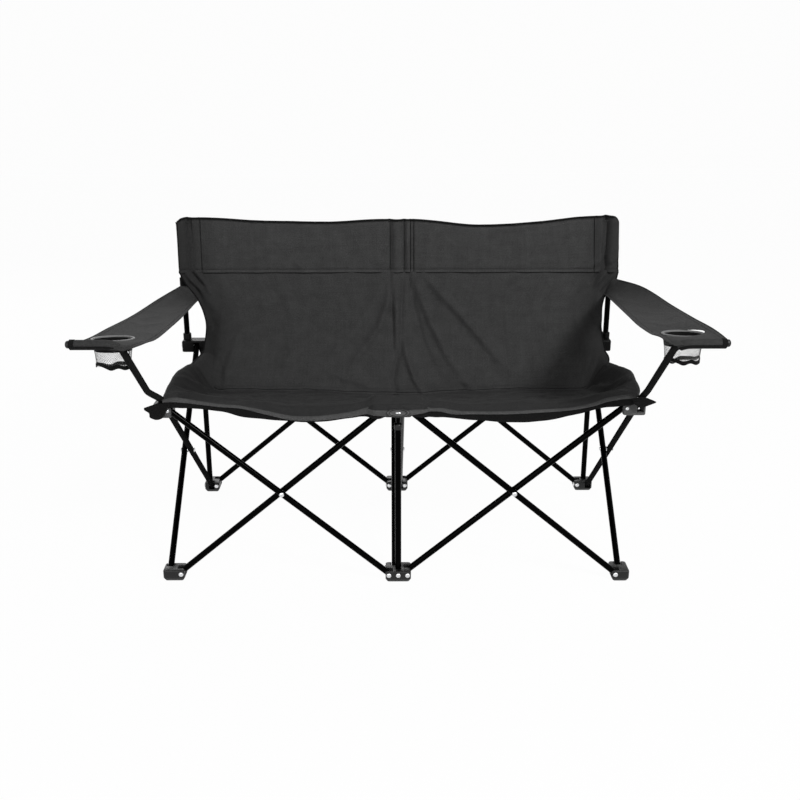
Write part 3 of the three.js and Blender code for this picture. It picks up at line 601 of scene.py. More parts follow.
def combined(obj, others, operation):
    for other in others:
        step = obj.modifiers.new("cut", "BOOLEAN")
        step.operation, step.object, step.solver = operation, other, "EXACT"
    apply_modifiers(obj)
    for other in others:
        bpy.data.objects.remove(other)


# %% [markdown]
# Each corner's block holds two to four tube ends. Where its pins are follows from the column and the
# row: tubes lie one layer to the left or right, or ahead or behind. Listing the pins first lets one maker
# cut the slots of all twelve blocks.

# %% Where the pins of a corner are
POST_WALL_R = 0.012


def pins_of(level, column, row):
    side = 1 if row == "front" else -1
    foot = level == "foot"
    pins = []
    if column < 1:
        pins.append({"x": CORNER, "y": LAYER if foot else -LAYER, "axis": "y", "inward": 1})
    if column > -1:
        pins.append({"x": -CORNER, "y": -LAYER if foot else LAYER, "axis": "y", "inward": -1})
    leftward = foot == (row == "front")
    through = not foot and row == "front" and column != 0
    pins.append({"x": -LAYER if leftward else LAYER, "y": side * CORNER, "axis": "x", "inward": side,
                 "through": through})
    return pins


def block_reach(pins, socket_x):
    back = REACH + BACK_WALL
    spans = []
    for pin in pins:
        along = (-back, OPEN_REACH) if pin["inward"] > 0 else (-OPEN_REACH, back)
        across = (-SLOT - CHEEK, SLOT + CHEEK)
        a, b = (along, across) if pin["axis"] == "y" else (across, along)
        spans.append((pin["x"] + a[0], pin["x"] + a[1], pin["y"] + b[0], pin["y"] + b[1]))
    spans.append((-POST_WALL_R, POST_WALL_R, -POST_WALL_R, POST_WALL_R))
    if socket_x is not None:
        spans.append((socket_x - POST_WALL_R, socket_x + POST_WALL_R, 0, 0))
    low = (min(s[0] for s in spans), min(s[2] for s in spans))
    high = (max(s[1] for s in spans), max(s[3] for s in spans))
    return low, high


OUT = 0.08


def slot_cutters(pin, origin, pin_z, foot):
    """The boxes that cut a tube's slot. OUT is how far they run on past the block."""
    centre = origin + Vector((pin["x"], pin["y"], pin_z))

    def cut(along, up):
        a = sorted(v * pin["inward"] for v in along)
        if pin["axis"] == "y":
            low, high = Vector((a[0], -SLOT, up[0])), Vector((a[1], SLOT, up[1]))
        else:
            low, high = Vector((-SLOT, a[0], up[0])), Vector((SLOT, a[1], up[1]))
        return box_cutter(centre + low, centre + high)

    cutters = [cut((-REACH, OUT), (-REACH, OUT) if foot else (-OUT, REACH))]
    if pin.get("through"):
        cutters.append(cut((-OUT, REACH), (-REACH, OUT)))
    return cutters


print("pins of a front corner foot", len(pins_of("foot", -1, "front")), "of the middle hub",
      len(pins_of("hub", 0, "front")))


# %% [markdown]
# A rivet's head is a low dome on a flat rim. One profile, turned on the lathe and scaled, serves them all.

# %% Rivet heads
HEAD = [(0, 0.0030), (0.0018, 0.0029), (0.0036, 0.0025), (0.0052, 0.0017), (0.0061, 0.0008), (0.0064, 0.0),
        (0.0064, -0.0004), (0.0030, -0.0004), (0.0030, -0.003), (0, -0.003)]


def rivet_head(name, place, direction, body, size=1.0):
    profile = [(r * size, h * size) for r, h in HEAD[::-1]]
    head = mesh_object(name, *lathe(profile, place, direction), RIVET_FINISH)
    return dress(head, body, "rivet")


print("rivet heads", round(2000 * max(r for r, h in HEAD), 1), "mm across")


# %% [markdown]
# The real feet and hubs are moulded in two or three kinds and riveted. They could be boxes, but the
# slots and the rivets' heads are what the eye finds in the photograph. So each block is cut to fit the
# tubes it holds, and every rivet is turned on its own.

# %% Feet and hubs
FOOT_LEVELS = [(0, 0.0060), (0.0012, 0.0046), (0.0070, 0.0012), (0.0095, 0.0), (FOOT_HEIGHT - 0.0035, 0.0),
               (FOOT_HEIGHT - 0.0012, 0.0006), (FOOT_HEIGHT, 0.0022)]
HUB_LEVELS = [(HUB_BOTTOM, 0.0018), (HUB_BOTTOM + 0.0012, 0.0004), (HUB_BOTTOM + 0.0025, 0.0),
              (HUB_TOP - 0.004, 0.0), (HUB_TOP - 0.0014, 0.0010), (HUB_TOP, 0.0034)]
POST_HOLE_Z = 0.0095
ROD_HOLE_Z = 0.4703
SOCKET_Z = 0.4757
ABOVE_FOOT_Z, BELOW_HUB_Z, ABOVE_HUB_Z = 0.1, 0.4, 0.6
BOSS = [(0, -0.012), (0.0119, -0.012), (0.0119, 0.0145), (0.0112, 0.0165), (0.0098, 0.017), (0, 0.017)]
HUB_RIVET_SIZE = 0.72


def hole_cutters(block, origin, foot, has_post, socket_x, finish):
    """Holes for the telescoping post and, in a rear hub, a boss with the back post's socket."""
    if has_post and foot:
        yield round_cutter(origin.x, origin.y, POST_HOLE_Z, ABOVE_FOOT_Z, TUBE_R + GAP)
    if has_post and not foot:
        yield round_cutter(origin.x, origin.y, BELOW_HUB_Z, ROD_HOLE_Z, ROD_R + GAP)
    if socket_x is not None:
        ground = Vector((origin.x + socket_x, origin.y, 0))
        boss = lathe([(r, HUB_TOP + h) for r, h in BOSS], ground)
        combined(block, [mesh_object("boss", *boss, finish)], "UNION")
        yield round_cutter(ground.x, ground.y, SOCKET_Z, ABOVE_HUB_Z, TUBE_R + GAP)


def softened(block):
    edge = block.modifiers.new("edge", "BEVEL")
    edge.width, edge.segments, edge.limit_method = 0.0005, 2, "ANGLE"
    edge.angle_limit = math.radians(50)
    apply_modifiers(block)
    block.data.set_sharp_from_angle(angle=math.radians(40))


def add_pins(node, pins, low, origin, pin_z, size):
    for i, pin in enumerate(pins):
        across = 1 if pin["axis"] == "y" else 0
        axis = Vector((1 - across, across, 0))
        face, own = low[across], pin[pin["axis"]]
        face_at = origin + Vector((pin["x"], pin["y"], pin_z)) + axis * (face - own)
        rivet_head(f"{node}_rivet_{i}", face_at, -axis, node, size)
        inner_end = face_at + axis * (own + SLOT + CHEEK / 2 - face)
        dress(solid_rod(f"{node}_pin_{i}", face_at, inner_end, PIN_R, RIVET_FINISH, 16), node, "rivet")


def add_block(level, row, column_name):
    column = COLUMNS[column_name]
    foot, node = level == "foot", f"{level}_{row}_{column_name}"
    origin = at(column * PITCH, ROWS[row], 0)
    pin_z = FOOT_PIN_Z if foot else HUB_PIN_Z
    socket_x = column * BACK_POST_OFFSET if row == "rear" and not foot else None
    pins = pins_of(level, column, row)
    low, high = block_reach(pins, socket_x)
    finish = FOOT_AND_SHADE_FINISH if foot else HUB_FINISH if row == "front" else REAR_HUB_FINISH
    block = stacked(node + "_moulded", (origin.x + low[0], origin.y + low[1]),
                    (origin.x + high[0], origin.y + high[1]), FOOT_LEVELS if foot else HUB_LEVELS, finish)
    cutters = [c for pin in pins for c in slot_cutters(pin, origin, pin_z, foot)]
    cutters += hole_cutters(block, origin, foot, row == "rear" or column == 0, socket_x, finish)
    combined(block, cutters, "DIFFERENCE")
    softened(block)
    dress(block, node, level, node)
    add_pins(node, pins, low, origin, pin_z, 1.0 if foot else HUB_RIVET_SIZE)


for column_name in COLUMNS:
    for row in ROWS:
        for level in ("foot", "hub"):
            add_block(level, row, column_name)
middle_face = at(0, -HALF - SLOT - CHEEK - LAYER, FOOT_PIN_Z)
rivet_head("foot_front_centre_rivet_middle", middle_face, (0, -1, 0), "foot_front_centre")
tell("feet and hubs", "foot_", "hub_")


# %% [markdown]
# Where two tubes cross, a rivet holds them with a washer between them. Its heads are bright in the
# photograph, because they catch the lamps.

# %% Crossing rivets
MIDDLE_Z = (FOOT_PIN_Z + HUB_PIN_Z) / 2


def crossing_rivet(node, place, direction, body):
    """From the middle of the washer out: the pin, then the head's flat and its dome."""
    reach = LAYER + TUBE_R + GAP
    half = [(reach + 0.0030, 0), (reach + 0.0028, 0.0022), (reach + 0.0022, 0.0044),
            (reach + 0.0010, 0.0060), (reach, 0.0063), (reach, PIN_R), (0.0007, PIN_R), (0.0007, 0.0068)]
    profile = [(r, -h) for h, r in half] + [(r, h) for h, r in reversed(half)]
    obj = mesh_object(node + "_round", *lathe(profile, place, direction, 28), RIVET_FINISH)
    dress(obj, body, "rivet", node)


for row, y in ROWS.items():
    for bay, side in SIDES.items():
        crossing_rivet(f"rivet_{row}_{bay}", at(side * HALF, y, MIDDLE_Z), (0, 1, 0), f"{row}_{bay}_fore")
for name, column in COLUMNS.items():
    crossing_rivet(f"rivet_side_{name}", at(column * PITCH, 0, MIDDLE_Z), (1, 0, 0), f"side_{name}_low")
tell("crossing rivets", "rivet_")


# %% [markdown]
# The seat and back are one slung cloth. Its shape is given by a few tables, read off the photograph:
# how the front lip dips between the hubs, how wide each side is at each height, and how the top edge
# hangs between the posts. Values between the table's places are joined by a smooth curve.

# %% Curves through tables
def curve(table):
    xs, ys = np.array([p[0] for p in table], float), np.array([p[1] for p in table], float)
    slopes = np.diff(ys) / np.diff(xs)
    tangents = np.concatenate([[slopes[0]], (slopes[1:] + slopes[:-1]) / 2, [slopes[-1]]])
    flat = np.concatenate([[False], slopes[1:] * slopes[:-1] <= 0, [False]])
    tangents[flat] = 0

    def value(x):
        x = min(max(x, xs[0]), xs[-1])
        i = int(min(max(np.searchsorted(xs, x) - 1, 0), len(xs) - 2))
        h = xs[i + 1] - xs[i]
        t = (x - xs[i]) / h
        a, b = ys[i], ys[i + 1]
        return ((2 * t ** 3 - 3 * t ** 2 + 1) * a + (t ** 3 - 2 * t ** 2 + t) * h * tangents[i]
                + (3 * t ** 2 - 2 * t ** 3) * b + (t ** 3 - t ** 2) * h * tangents[i + 1])

    return value


def smoothstep(x, low, high):
    t = min(max((x - low) / (high - low), 0.0), 1.0)
    return t * t * (3 - 2 * t)


def lerp(a, b, t):
    return a + (b - a) * t


print("a curve through (0, 0) and (1, 1) is", round(curve([(0, 0), (1, 1)])(0.5), 3), "at its middle")


# %% [markdown]
# These tables are places along the cloth, in metres, worked out from where its edges lie in the
# photograph and from the solved camera. The two sides have a table each, because the real cloth hangs
# a little lower and wider on the right.

# %% Sizes of the seat and back cloth
SEAT_Z = 0.4893
CREASE_Z = 0.3853
CREASE_Y = 0.100
LIP_Y = -0.307
HUB_FACE_Y = -0.3185
LIP_HUB_Y = -0.3225
LEVEL_Y = -0.2576
EDGE_ROUND = 0.006
FOLD_Y = -0.020
BAND_Z = 0.688
HUB_SHARE = 0.27
BAND_Y = 0.2835
LIP_Z = curve([
    (-0.575, 0.4950), (-0.540, 0.4965), (-0.5225, 0.4935), (-0.478, 0.4870), (-0.434, 0.4805),
    (-0.384, 0.4765), (-0.323, 0.4605), (-0.264, 0.4465), (-0.215, 0.4440), (-0.115, 0.4538),
    (-0.066, 0.4625), (-0.041, 0.4615), (-0.022, 0.4610), (0.0, 0.4610), (0.022, 0.4615),
    (0.036, 0.4640), (0.0565, 0.4675), (0.081, 0.4681), (0.105, 0.4668), (0.130, 0.4606),
    (0.176, 0.4600), (0.251, 0.4596), (0.350, 0.4640), (0.424, 0.4700), (0.473, 0.4795),
    (0.522, 0.4950), (0.545, 0.5010), (0.580, 0.5020)])
LIP_HEIGHT = curve([
    (-0.575, 0.003), (-0.540, 0.008), (-0.478, 0.005), (-0.434, 0.0036), (-0.384, 0.0028),
    (-0.330, 0.0055), (-0.200, 0.007), (-0.115, 0.0093), (-0.060, 0.0120), (0.036, 0.0110),
    (0.060, 0.0075), (0.085, 0.0037), (0.130, 0.0070), (0.160, 0.0037), (0.200, 0.0025),
    (0.350, 0.0032), (0.424, 0.0025), (0.473, 0.0042), (0.522, 0.0065), (0.560, 0.0065),
    (0.580, 0.004)])
# How far the painted shade under the lip reaches down, along the lip.
UNDER_LIP_SHADE_HEIGHT = curve([
    (-0.575, 0.014), (-0.522, 0.0145), (-0.478, 0.0135), (-0.434, 0.0125), (-0.384, 0.0215),
    (-0.323, 0.0135), (-0.250, 0.004), (-0.100, 0.004), (-0.066, 0.0090), (-0.044, 0.0080),
    (-0.030, 0.0020), (0.030, 0.0020), (0.044, 0.0080), (0.060, 0.0130), (0.090, 0.0165),
    (0.130, 0.0105), (0.176, 0.0155), (0.350, 0.0240), (0.424, 0.0150), (0.473, 0.0115),
    (0.522, 0.0160), (0.560, 0.0170), (0.580, 0.012)])
SEAT_LEFT = curve([(-0.307, 0.570), (-0.160, 0.586), (-0.020, 0.594), (0.050, 0.590), (0.100, 0.581)])
SEAT_RIGHT = curve([
    (-0.307, 0.580), (-0.250, 0.598), (-0.150, 0.612), (-0.020, 0.628), (0.050, 0.611),
    (0.100, 0.600)])
SIDE_LEFT_Z = curve([(-0.320, 0.4990), (-0.160, 0.4890), (-0.020, 0.4790), (0.100, 0.4665)])
SIDE_RIGHT_Z = curve([
    (-0.320, 0.5000), (-0.250, 0.5030), (-0.120, 0.4930), (-0.020, 0.4810), (0.100, 0.4665)])
SIDE_END_Z = 0.4665
BACK_LEFT = curve([(0.3853, 0.581), (0.440, 0.571), (0.495, 0.565), (0.550, 0.557), (0.600, 0.573),
                   (0.628, 0.591), (0.658, 0.617), (0.688, 0.635)])
BACK_RIGHT = curve([
    (0.3853, 0.600), (0.440, 0.612), (0.480, 0.611), (0.508, 0.606), (0.550, 0.598),
    (0.600, 0.602), (0.628, 0.614), (0.658, 0.640), (0.688, 0.650)])
TOP_Z = curve([
    (-0.642, 0.849), (-0.560, 0.849), (-0.400, 0.841), (-0.200, 0.837), (-0.040, 0.844),
    (0.040, 0.844), (0.240, 0.828), (0.420, 0.838), (0.530, 0.850), (0.648, 0.854)])
print("lip", LIP_Z(0.0), "m high in the middle and", LIP_Z(0.5), "m near the right hub")


# %% [markdown]
# Cloth under load has folds that start where it is held. Each is a long ridge laid where the photograph
# has it: straight, or dragged through a few points. Cells of noise stand for the creases left by the
# bag it was folded in. A cloth simulation would also do, but it would move the measured edges.

# %% Folds and creases
CRUMPLE_MIDDLE = 0.003


def ridge(x, y, start, end, height, width):
    """A fold along a line: its height falls off beside the line and towards the line's ends."""
    ax, ay = end[0] - start[0], end[1] - start[1]
    length2 = ax * ax + ay * ay
    t = ((x - start[0]) * ax + (y - start[1]) * ay) / length2
    tc = min(max(t, 0.0), 1.0)
    dx, dy = x - start[0] - ax * tc, y - start[1] - ay * tc
    fade = math.sin(math.pi * (0.12 + 0.76 * tc))
    return height * fade * math.exp(-(dx * dx + dy * dy) / (width * width))


def ridges(x, y, folds):
    total = 0.0
    for start, end, height, width in folds:
        total += ridge(x, y, start, end, height, width)
    return total


def drag(x, y, points, height, width):
    """A curved fold through a few points, made of ridges that meet."""
    best, place, walked = 1.0, 0.0, 0.0
    for start, end in zip(points, points[1:]):
        ax, ay = end[0] - start[0], end[1] - start[1]
        t = min(max(((x - start[0]) * ax + (y - start[1]) * ay) / (ax * ax + ay * ay), 0.0), 1.0)
        away = (x - start[0] - ax * t) ** 2 + (y - start[1] - ay * t) ** 2
        if away < best:
            best, place = away, walked + t
        walked += 1
    if best > 9 * width * width:
        return 0.0
    fade = math.sin(math.pi * (0.10 + 0.80 * place / walked))
    return height * fade * math.exp(-best / (width * width))


def crumpled(x, y, seed, tall=1.7):
    """Cloth that was folded in a bag: flat facets that meet in faint creases, and a softer ripple."""
    broad = noise.voronoi(Vector((x / 0.105, y / (0.105 * tall), seed)))[0]
    small = noise.voronoi(Vector((x / 0.052, y / (0.052 * tall), seed + 3)))[0]
    ripple = noise.noise(Vector((x / 0.045, y / (0.075 * tall), seed + 7)))
    crease = math.exp(-((broad[1] - broad[0]) / 0.06) ** 2)
    return 0.0052 * broad[0] + 0.0020 * small[0] + 0.0011 * ripple + 0.0008 * crease - CRUMPLE_MIDDLE


def groove(distance, depth, width=0.0028):
    return depth * math.exp(-(distance / width) ** 2)


print("a fold is", round(1000 * ridge(0.5, 0.0, (0, 0), (1, 0), 0.005, 0.02), 2), "mm high at its middle")


# %% [markdown]
# The seat slopes back from the lip to the seam, and its sides rise to a soft edge. Over the middle hub
# the lip is held forward, so the cloth drapes over an edge there, and it hangs freely on both sides.

# %% Shape of the seat
def crease_drop(x):
    """The seam between seat and back sags in the middle and wavers a little."""
    return 0.012 * math.exp(-(x / 0.20) ** 2) + 0.0010 * math.sin(31 * x) + 0.0006 * math.sin(83 * x + 1)


def side_rise(x, half):
    return smoothstep(abs(x), half - 0.078, half) ** 1.2


def near_middle_hub(x):
    return 1 - smoothstep(abs(x), 0.056, 0.080)


def near_outer_hub(x):
    return smoothstep(abs(x), 0.505, 0.540)


def seat_point(u, j):
    """u runs from -1 at the left edge to 1 at the right, and j from 0 at the lip to 1 at the seam."""
    side = SEAT_LEFT if u < 0 else SEAT_RIGHT
    x = u * side(lerp(LIP_Y, CREASE_Y, j))
    on_hub = near_middle_hub(x)
    ahead = max(on_hub, near_outer_hub(x))
    front_y = LIP_HUB_Y if abs(x) < 0.2 else HUB_FACE_Y
    edge_y = lerp(LIP_Y, front_y, ahead)
    y = lerp(edge_y, CREASE_Y, j)
    half = side(y)
    s = (y - LIP_Y) / (CREASE_Y - LIP_Y)
    down = max(y - LEVEL_Y, 0) / (CREASE_Y - LEVEL_Y)
    slung = lerp(SEAT_Z, CREASE_Z, down) - 0.010 * math.sin(math.pi * down)
    lip_z = LIP_Z(x) + LIP_HEIGHT(x)
    free = slung + (lip_z - SEAT_Z) * max(1 - s, 0) ** 2.2
    over_edge = min(max((y - edge_y) / EDGE_ROUND, 0), 1)
    draped = slung + (lip_z - SEAT_Z) * (1 - math.sqrt(1 - (1 - over_edge) ** 2))
    low = lerp(free, draped, on_hub)
    rise = side_rise(x, half)
    high = (SIDE_LEFT_Z if u < 0 else SIDE_RIGHT_Z)(y)
    z = lerp(low, max(high, low), rise)
    z -= crease_drop(x) * max(s, 0) ** 3
    calm = smoothstep(s, 0.0, 0.18) * (1 - smoothstep(s, 0.94, 1.0))
    at_edge = smoothstep(abs(x), half - 0.035, half)
    z += ridges(x, y, SEAT_FOLDS) * (1 - 0.75 * at_edge)
    z += 1.3 * crumpled(x, y, 11, 0.7) * calm * (1 - 0.6 * on_hub) * (1 - 0.6 * at_edge)
    return Vector((x, y + MID_Y, z))


SEAT_FOLDS = [
    ((-0.53, -0.28), (-0.33, -0.02), 0.0045, 0.018), ((-0.50, -0.30), (-0.20, -0.16), -0.0040, 0.020),
    ((0.52, -0.28), (0.36, -0.02), 0.0045, 0.018), ((0.48, -0.29), (0.22, -0.17), -0.0040, 0.020),
    ((-0.04, -0.27), (-0.16, -0.05), 0.0040, 0.016), ((0.04, -0.27), (0.15, -0.06), 0.0040, 0.016),
    ((-0.56, 0.07), (-0.36, 0.03), 0.0060, 0.012), ((0.58, 0.07), (0.38, 0.02), 0.0060, 0.012),
    ((-0.50, 0.09), (-0.10, 0.075), 0.0034, 0.010), ((0.10, 0.075), (0.50, 0.09), 0.0034, 0.010),
    ((0.0, -0.24), (0.0, 0.09), -0.0040, 0.014), ((-0.44, -0.26), (-0.30, -0.20), 0.0040, 0.010),
    ((0.30, -0.25), (0.42, -0.22), 0.0040, 0.010), ((-0.57, -0.20), (-0.47, 0.02), -0.0050, 0.016),
    ((0.60, -0.20), (0.49, 0.02), -0.0050, 0.016), ((-0.585, -0.08), (-0.520, 0.080), 0.0100, 0.008),
    ((-0.575, -0.16), (-0.525, 0.000), -0.0090, 0.007), ((-0.555, -0.24), (-0.500, -0.100), 0.0080, 0.008),
    ((-0.560, 0.04), (-0.500, 0.095), -0.0090, 0.008), ((0.605, -0.08), (0.540, 0.080), 0.0090, 0.008),
    ((0.600, -0.16), (0.550, 0.000), -0.0080, 0.007), ((0.580, -0.24), (0.520, -0.100), 0.0080, 0.008),
    ((0.585, 0.04), (0.520, 0.095), -0.0090, 0.008), ((-0.30, 0.060), (-0.06, 0.040), 0.0060, 0.014),
    ((0.08, 0.030), (0.30, 0.060), 0.0060, 0.014), ((-0.22, -0.10), (0.00, 0.02), 0.0050, 0.016),
    ((0.02, 0.02), (0.24, -0.12), 0.0050, 0.016), ((-0.45, -0.06), (-0.25, -0.12), 0.0050, 0.014),
    ((0.28, -0.12), (0.46, -0.05), 0.0050, 0.014),
]
print("middle of the seat", tuple(round(v, 3) for v in seat_point(0.0, 0.5)))


# %% [markdown]
# The back rises from the seam, bellies between the posts and is pulled in above the arms. Its folds fan
# out from the middle sleeve, where the post holds the cloth and both halves sag away from it.

# %% Shape of the back panel
def back_point(u, z):
    half = BACK_LEFT(z) if u < 0 else BACK_RIGHT(z)
    x = u * half
    t = (z - CREASE_Z) / (BAND_Z - CREASE_Z)
    bow = 0.5 * t + 0.5 * (1 - (1 - t) ** 2)
    y = lerp(CREASE_Y, BAND_Y, bow)
    middle = math.exp(-(x / 0.055) ** 2)
    y += 0.012 * math.sin(math.pi * min(t * 1.1, 1)) * (1 - middle) * (1 - abs(u) ** 4)
    hug = side_rise(x, half)
    corner = smoothstep(t, 0.0, 0.34) * (1 - smoothstep(t, 0.34, 0.62))
    y += 0.055 * hug * corner
    calm = smoothstep(t, 0.0, 0.10) * (1 - smoothstep(t, 0.96, 1.0))
    y -= back_folds(x, z) + 1.3 * crumpled(x, z, 23) * calm
    y += groove(z - CREASE_Z - 0.004, 0.0022) * (1 - smoothstep(abs(u), 0.88, 0.94))
    z += (SIDE_END_Z - CREASE_Z) * max(1 - t / HUB_SHARE, 0) * hug - crease_drop(x) * max(1 - t, 0) ** 3
    return Vector((x, y + MID_Y, z))


def back_folds(x, z):
    total = ridges(x, z, BACK_FOLDS)
    for points, height, width in DRAG_FOLDS:
        total += drag(x, z, points, height, width)
    return total


BACK_FOLDS = [
    ((0.000, 0.690), (0.000, 0.480), 0.0085, 0.009), ((0.020, 0.690), (0.010, 0.500), -0.0070, 0.005),
    ((-0.020, 0.700), (-0.010, 0.490), -0.0085, 0.005), ((0.045, 0.690), (0.040, 0.600), 0.0035, 0.005),
    ((0.612, 0.690), (0.580, 0.650), 0.0130, 0.006), ((0.596, 0.690), (0.570, 0.662), -0.0120, 0.005),
    ((0.635, 0.684), (0.598, 0.640), 0.0110, 0.006), ((0.625, 0.670), (0.588, 0.622), -0.0090, 0.006),
    ((0.600, 0.650), (0.572, 0.580), 0.0070, 0.008), ((0.585, 0.690), (0.520, 0.610), 0.0050, 0.010),
    ((-0.616, 0.690), (-0.572, 0.640), 0.0120, 0.006), ((-0.600, 0.690), (-0.560, 0.650), -0.0110, 0.005),
    ((-0.585, 0.690), (-0.535, 0.620), 0.0070, 0.007), ((-0.590, 0.660), (-0.560, 0.590), -0.0070, 0.007),
    ((-0.570, 0.640), (-0.500, 0.560), 0.0055, 0.010), ((-0.560, 0.600), (-0.520, 0.520), -0.0045, 0.009),
    ((-0.590, 0.430), (-0.555, 0.392), -0.0120, 0.009), ((0.600, 0.430), (0.570, 0.392), -0.0120, 0.009),
    ((-0.575, 0.470), (-0.520, 0.400), 0.0080, 0.009), ((0.590, 0.470), (0.540, 0.400), 0.0080, 0.009),
    ((-0.530, 0.640), (-0.360, 0.590), 0.0035, 0.018), ((0.540, 0.570), (0.350, 0.530), 0.0040, 0.020),
    ((0.500, 0.470), (0.420, 0.400), -0.0050, 0.010), ((0.360, 0.640), (0.345, 0.430), 0.0035, 0.020),
]
DRAG_FOLDS = [
    (((0.050, 0.682), (0.072, 0.620), (0.100, 0.552), (0.150, 0.465), (0.215, 0.388)), 0.0136, 0.0120),
    (((0.080, 0.684), (0.135, 0.625), (0.205, 0.556), (0.292, 0.462), (0.352, 0.420)), 0.0128, 0.0130),
    (((0.035, 0.684), (0.046, 0.600), (0.075, 0.500), (0.125, 0.410)), -0.0096, 0.0100),
    (((-0.012, 0.684), (-0.026, 0.610), (-0.050, 0.545), (-0.117, 0.464), (-0.150, 0.420)), 0.0128, 0.0110),
    (((-0.035, 0.684), (-0.070, 0.600), (-0.150, 0.500), (-0.240, 0.440)), 0.0088, 0.0160),
    (((0.018, 0.510), (0.030, 0.470), (0.050, 0.420), (0.075, 0.388)), 0.0152, 0.0085),
    (((0.014, 0.500), (-0.004, 0.450), (-0.012, 0.415), (-0.004, 0.388)), -0.0128, 0.0080),
    (((-0.457, 0.530), (-0.474, 0.480), (-0.488, 0.438), (-0.495, 0.390)), 0.0112, 0.0110),
    (((-0.500, 0.600), (-0.520, 0.520), (-0.525, 0.450), (-0.510, 0.395)), 0.0096, 0.0120),
    (((0.520, 0.580), (0.540, 0.510), (0.535, 0.450), (0.510, 0.400)), 0.0104, 0.0130),
    (((-0.330, 0.640), (-0.300, 0.560), (-0.310, 0.470), (-0.350, 0.400)), 0.0056, 0.0180),
    (((-0.200, 0.430), (-0.120, 0.415), (-0.060, 0.400)), 0.0080, 0.0090),
    (((0.110, 0.400), (0.180, 0.412), (0.260, 0.402)), 0.0080, 0.0090),
]
print("folds of the back", len(BACK_FOLDS) + len(DRAG_FOLDS))


# %% [markdown]
# The upper band is doubled and hangs on the posts by sleeves. Beside each post it dips, and a row of
# thread on each side of a sleeve draws a groove. Its two upper corners are rounded.

# %% Shape of the upper band
SLEEVE_SEAMS = (-0.593, -0.569, -0.0200, 0.0206, 0.0395, 0.0490, 0.575)
TOP_CORNER = 0.022


def band_point(u, v):
    """v runs from 0 at the seam to 1 at the top edge."""
    half = lerp(0.635, 0.632, v) if u < 0 else lerp(0.650, 0.640, v)
    x = u * half
    top = TOP_Z(x)
    z = lerp(BAND_Z, top, v)
    y = BAND_Y
    for post in (-BACK_POST_X, 0.0, BACK_POST_X):
        offset = abs(x - post)
        y -= 0.0050 * math.exp(-(offset / 0.012) ** 2)
        y += 0.0038 * math.exp(-((offset - 0.022) / 0.006) ** 2)
    y += 0.0130 * math.exp(-((x - 0.604) / 0.009) ** 2) + 0.0070 * math.exp(-((x + 0.604) / 0.008) ** 2)
    for seam in SLEEVE_SEAMS:
        y += groove(x - seam, 0.0026, 0.0032)
    calm = 1 - smoothstep(abs(u), 0.96, 1.0)
    y -= ridges(x, z, BAND_FOLDS) + crumpled(x, z, 5) * calm
    y += groove(z - BAND_Z - 0.009, 0.0030) + groove(z - top + 0.009, 0.0016)
    y -= 0.0022 * math.exp(-((z - BAND_Z - 0.0035) / 0.003) ** 2)
    p, q = 1 - (half - abs(x)) / TOP_CORNER, 1 - (top - z) / TOP_CORNER
    if p > 0 and q > 0:
        x -= math.copysign(TOP_CORNER * p * (1 - math.sqrt(1 - q * q / 2)), u)
        z += TOP_CORNER * q * (math.sqrt(1 - p * p / 2) - 1)
    return Vector((x, y + MID_Y, z))


BAND_FOLDS = [
    ((0.560, 0.700), (0.640, 0.760), 0.0060, 0.009), ((0.590, 0.690), (0.645, 0.720), -0.0065, 0.007),
    ((0.565, 0.690), (0.620, 0.700), 0.0050, 0.006), ((0.592, 0.840), (0.596, 0.700), 0.0045, 0.006),
    ((-0.595, 0.840), (-0.592, 0.700), -0.0050, 0.006), ((-0.612, 0.840), (-0.606, 0.700), 0.0045, 0.006),
    ((0.031, 0.840), (0.031, 0.700), 0.0055, 0.006), ((-0.015, 0.840), (-0.014, 0.700), -0.0050, 0.005),
    ((0.043, 0.838), (0.043, 0.700), -0.0035, 0.004), ((-0.400, 0.830), (-0.390, 0.700), 0.0026, 0.024),
    ((-0.300, 0.830), (-0.310, 0.700), -0.0020, 0.018), ((-0.180, 0.830), (-0.200, 0.700), 0.0024, 0.024),
    ((0.200, 0.820), (0.220, 0.700), 0.0028, 0.024), ((0.300, 0.820), (0.290, 0.720), -0.0020, 0.016),
    ((0.420, 0.830), (0.400, 0.700), 0.0024, 0.022), ((0.500, 0.840), (0.520, 0.700), 0.0022, 0.014),
    ((-0.500, 0.835), (-0.515, 0.700), 0.0022, 0.014), ((0.100, 0.820), (0.120, 0.700), -0.0018, 0.016),
]
print("middle of the top edge", tuple(round(v, 3) for v in band_point(0.0, 1.0)))


# %% [markdown]
# A cloth piece is a fine grid over one of these shapes, thickened a little. When the frame folds, the
# real cloth crumples between the tubes. Here each piece rides its leaf.

# %% Cloth pieces
CLOTH = 0.0016
RIM = 0.0015
CUTS = {}


def measured(name, verts, columns, rows, hole):
    """Notes how long, wide and large a cloth is along its own surface, which is the size it was cut to."""
    grid = np.array([tuple(v) for v in verts]).reshape(rows + 1, columns + 1, 3)
    across = np.linalg.norm(np.diff(grid, axis=1), axis=2).sum(axis=1).max()
    along = np.linalg.norm(np.diff(grid, axis=0), axis=2).sum(axis=0).max()
    one, two = grid[1:, 1:] - grid[:-1, :-1], grid[1:, :-1] - grid[:-1, 1:]
    area = np.linalg.norm(np.cross(one, two), axis=2).sum() / 2 - (math.pi * hole[1] ** 2 if hole else 0)
    CUTS[name] = (float(across), float(along), float(area))


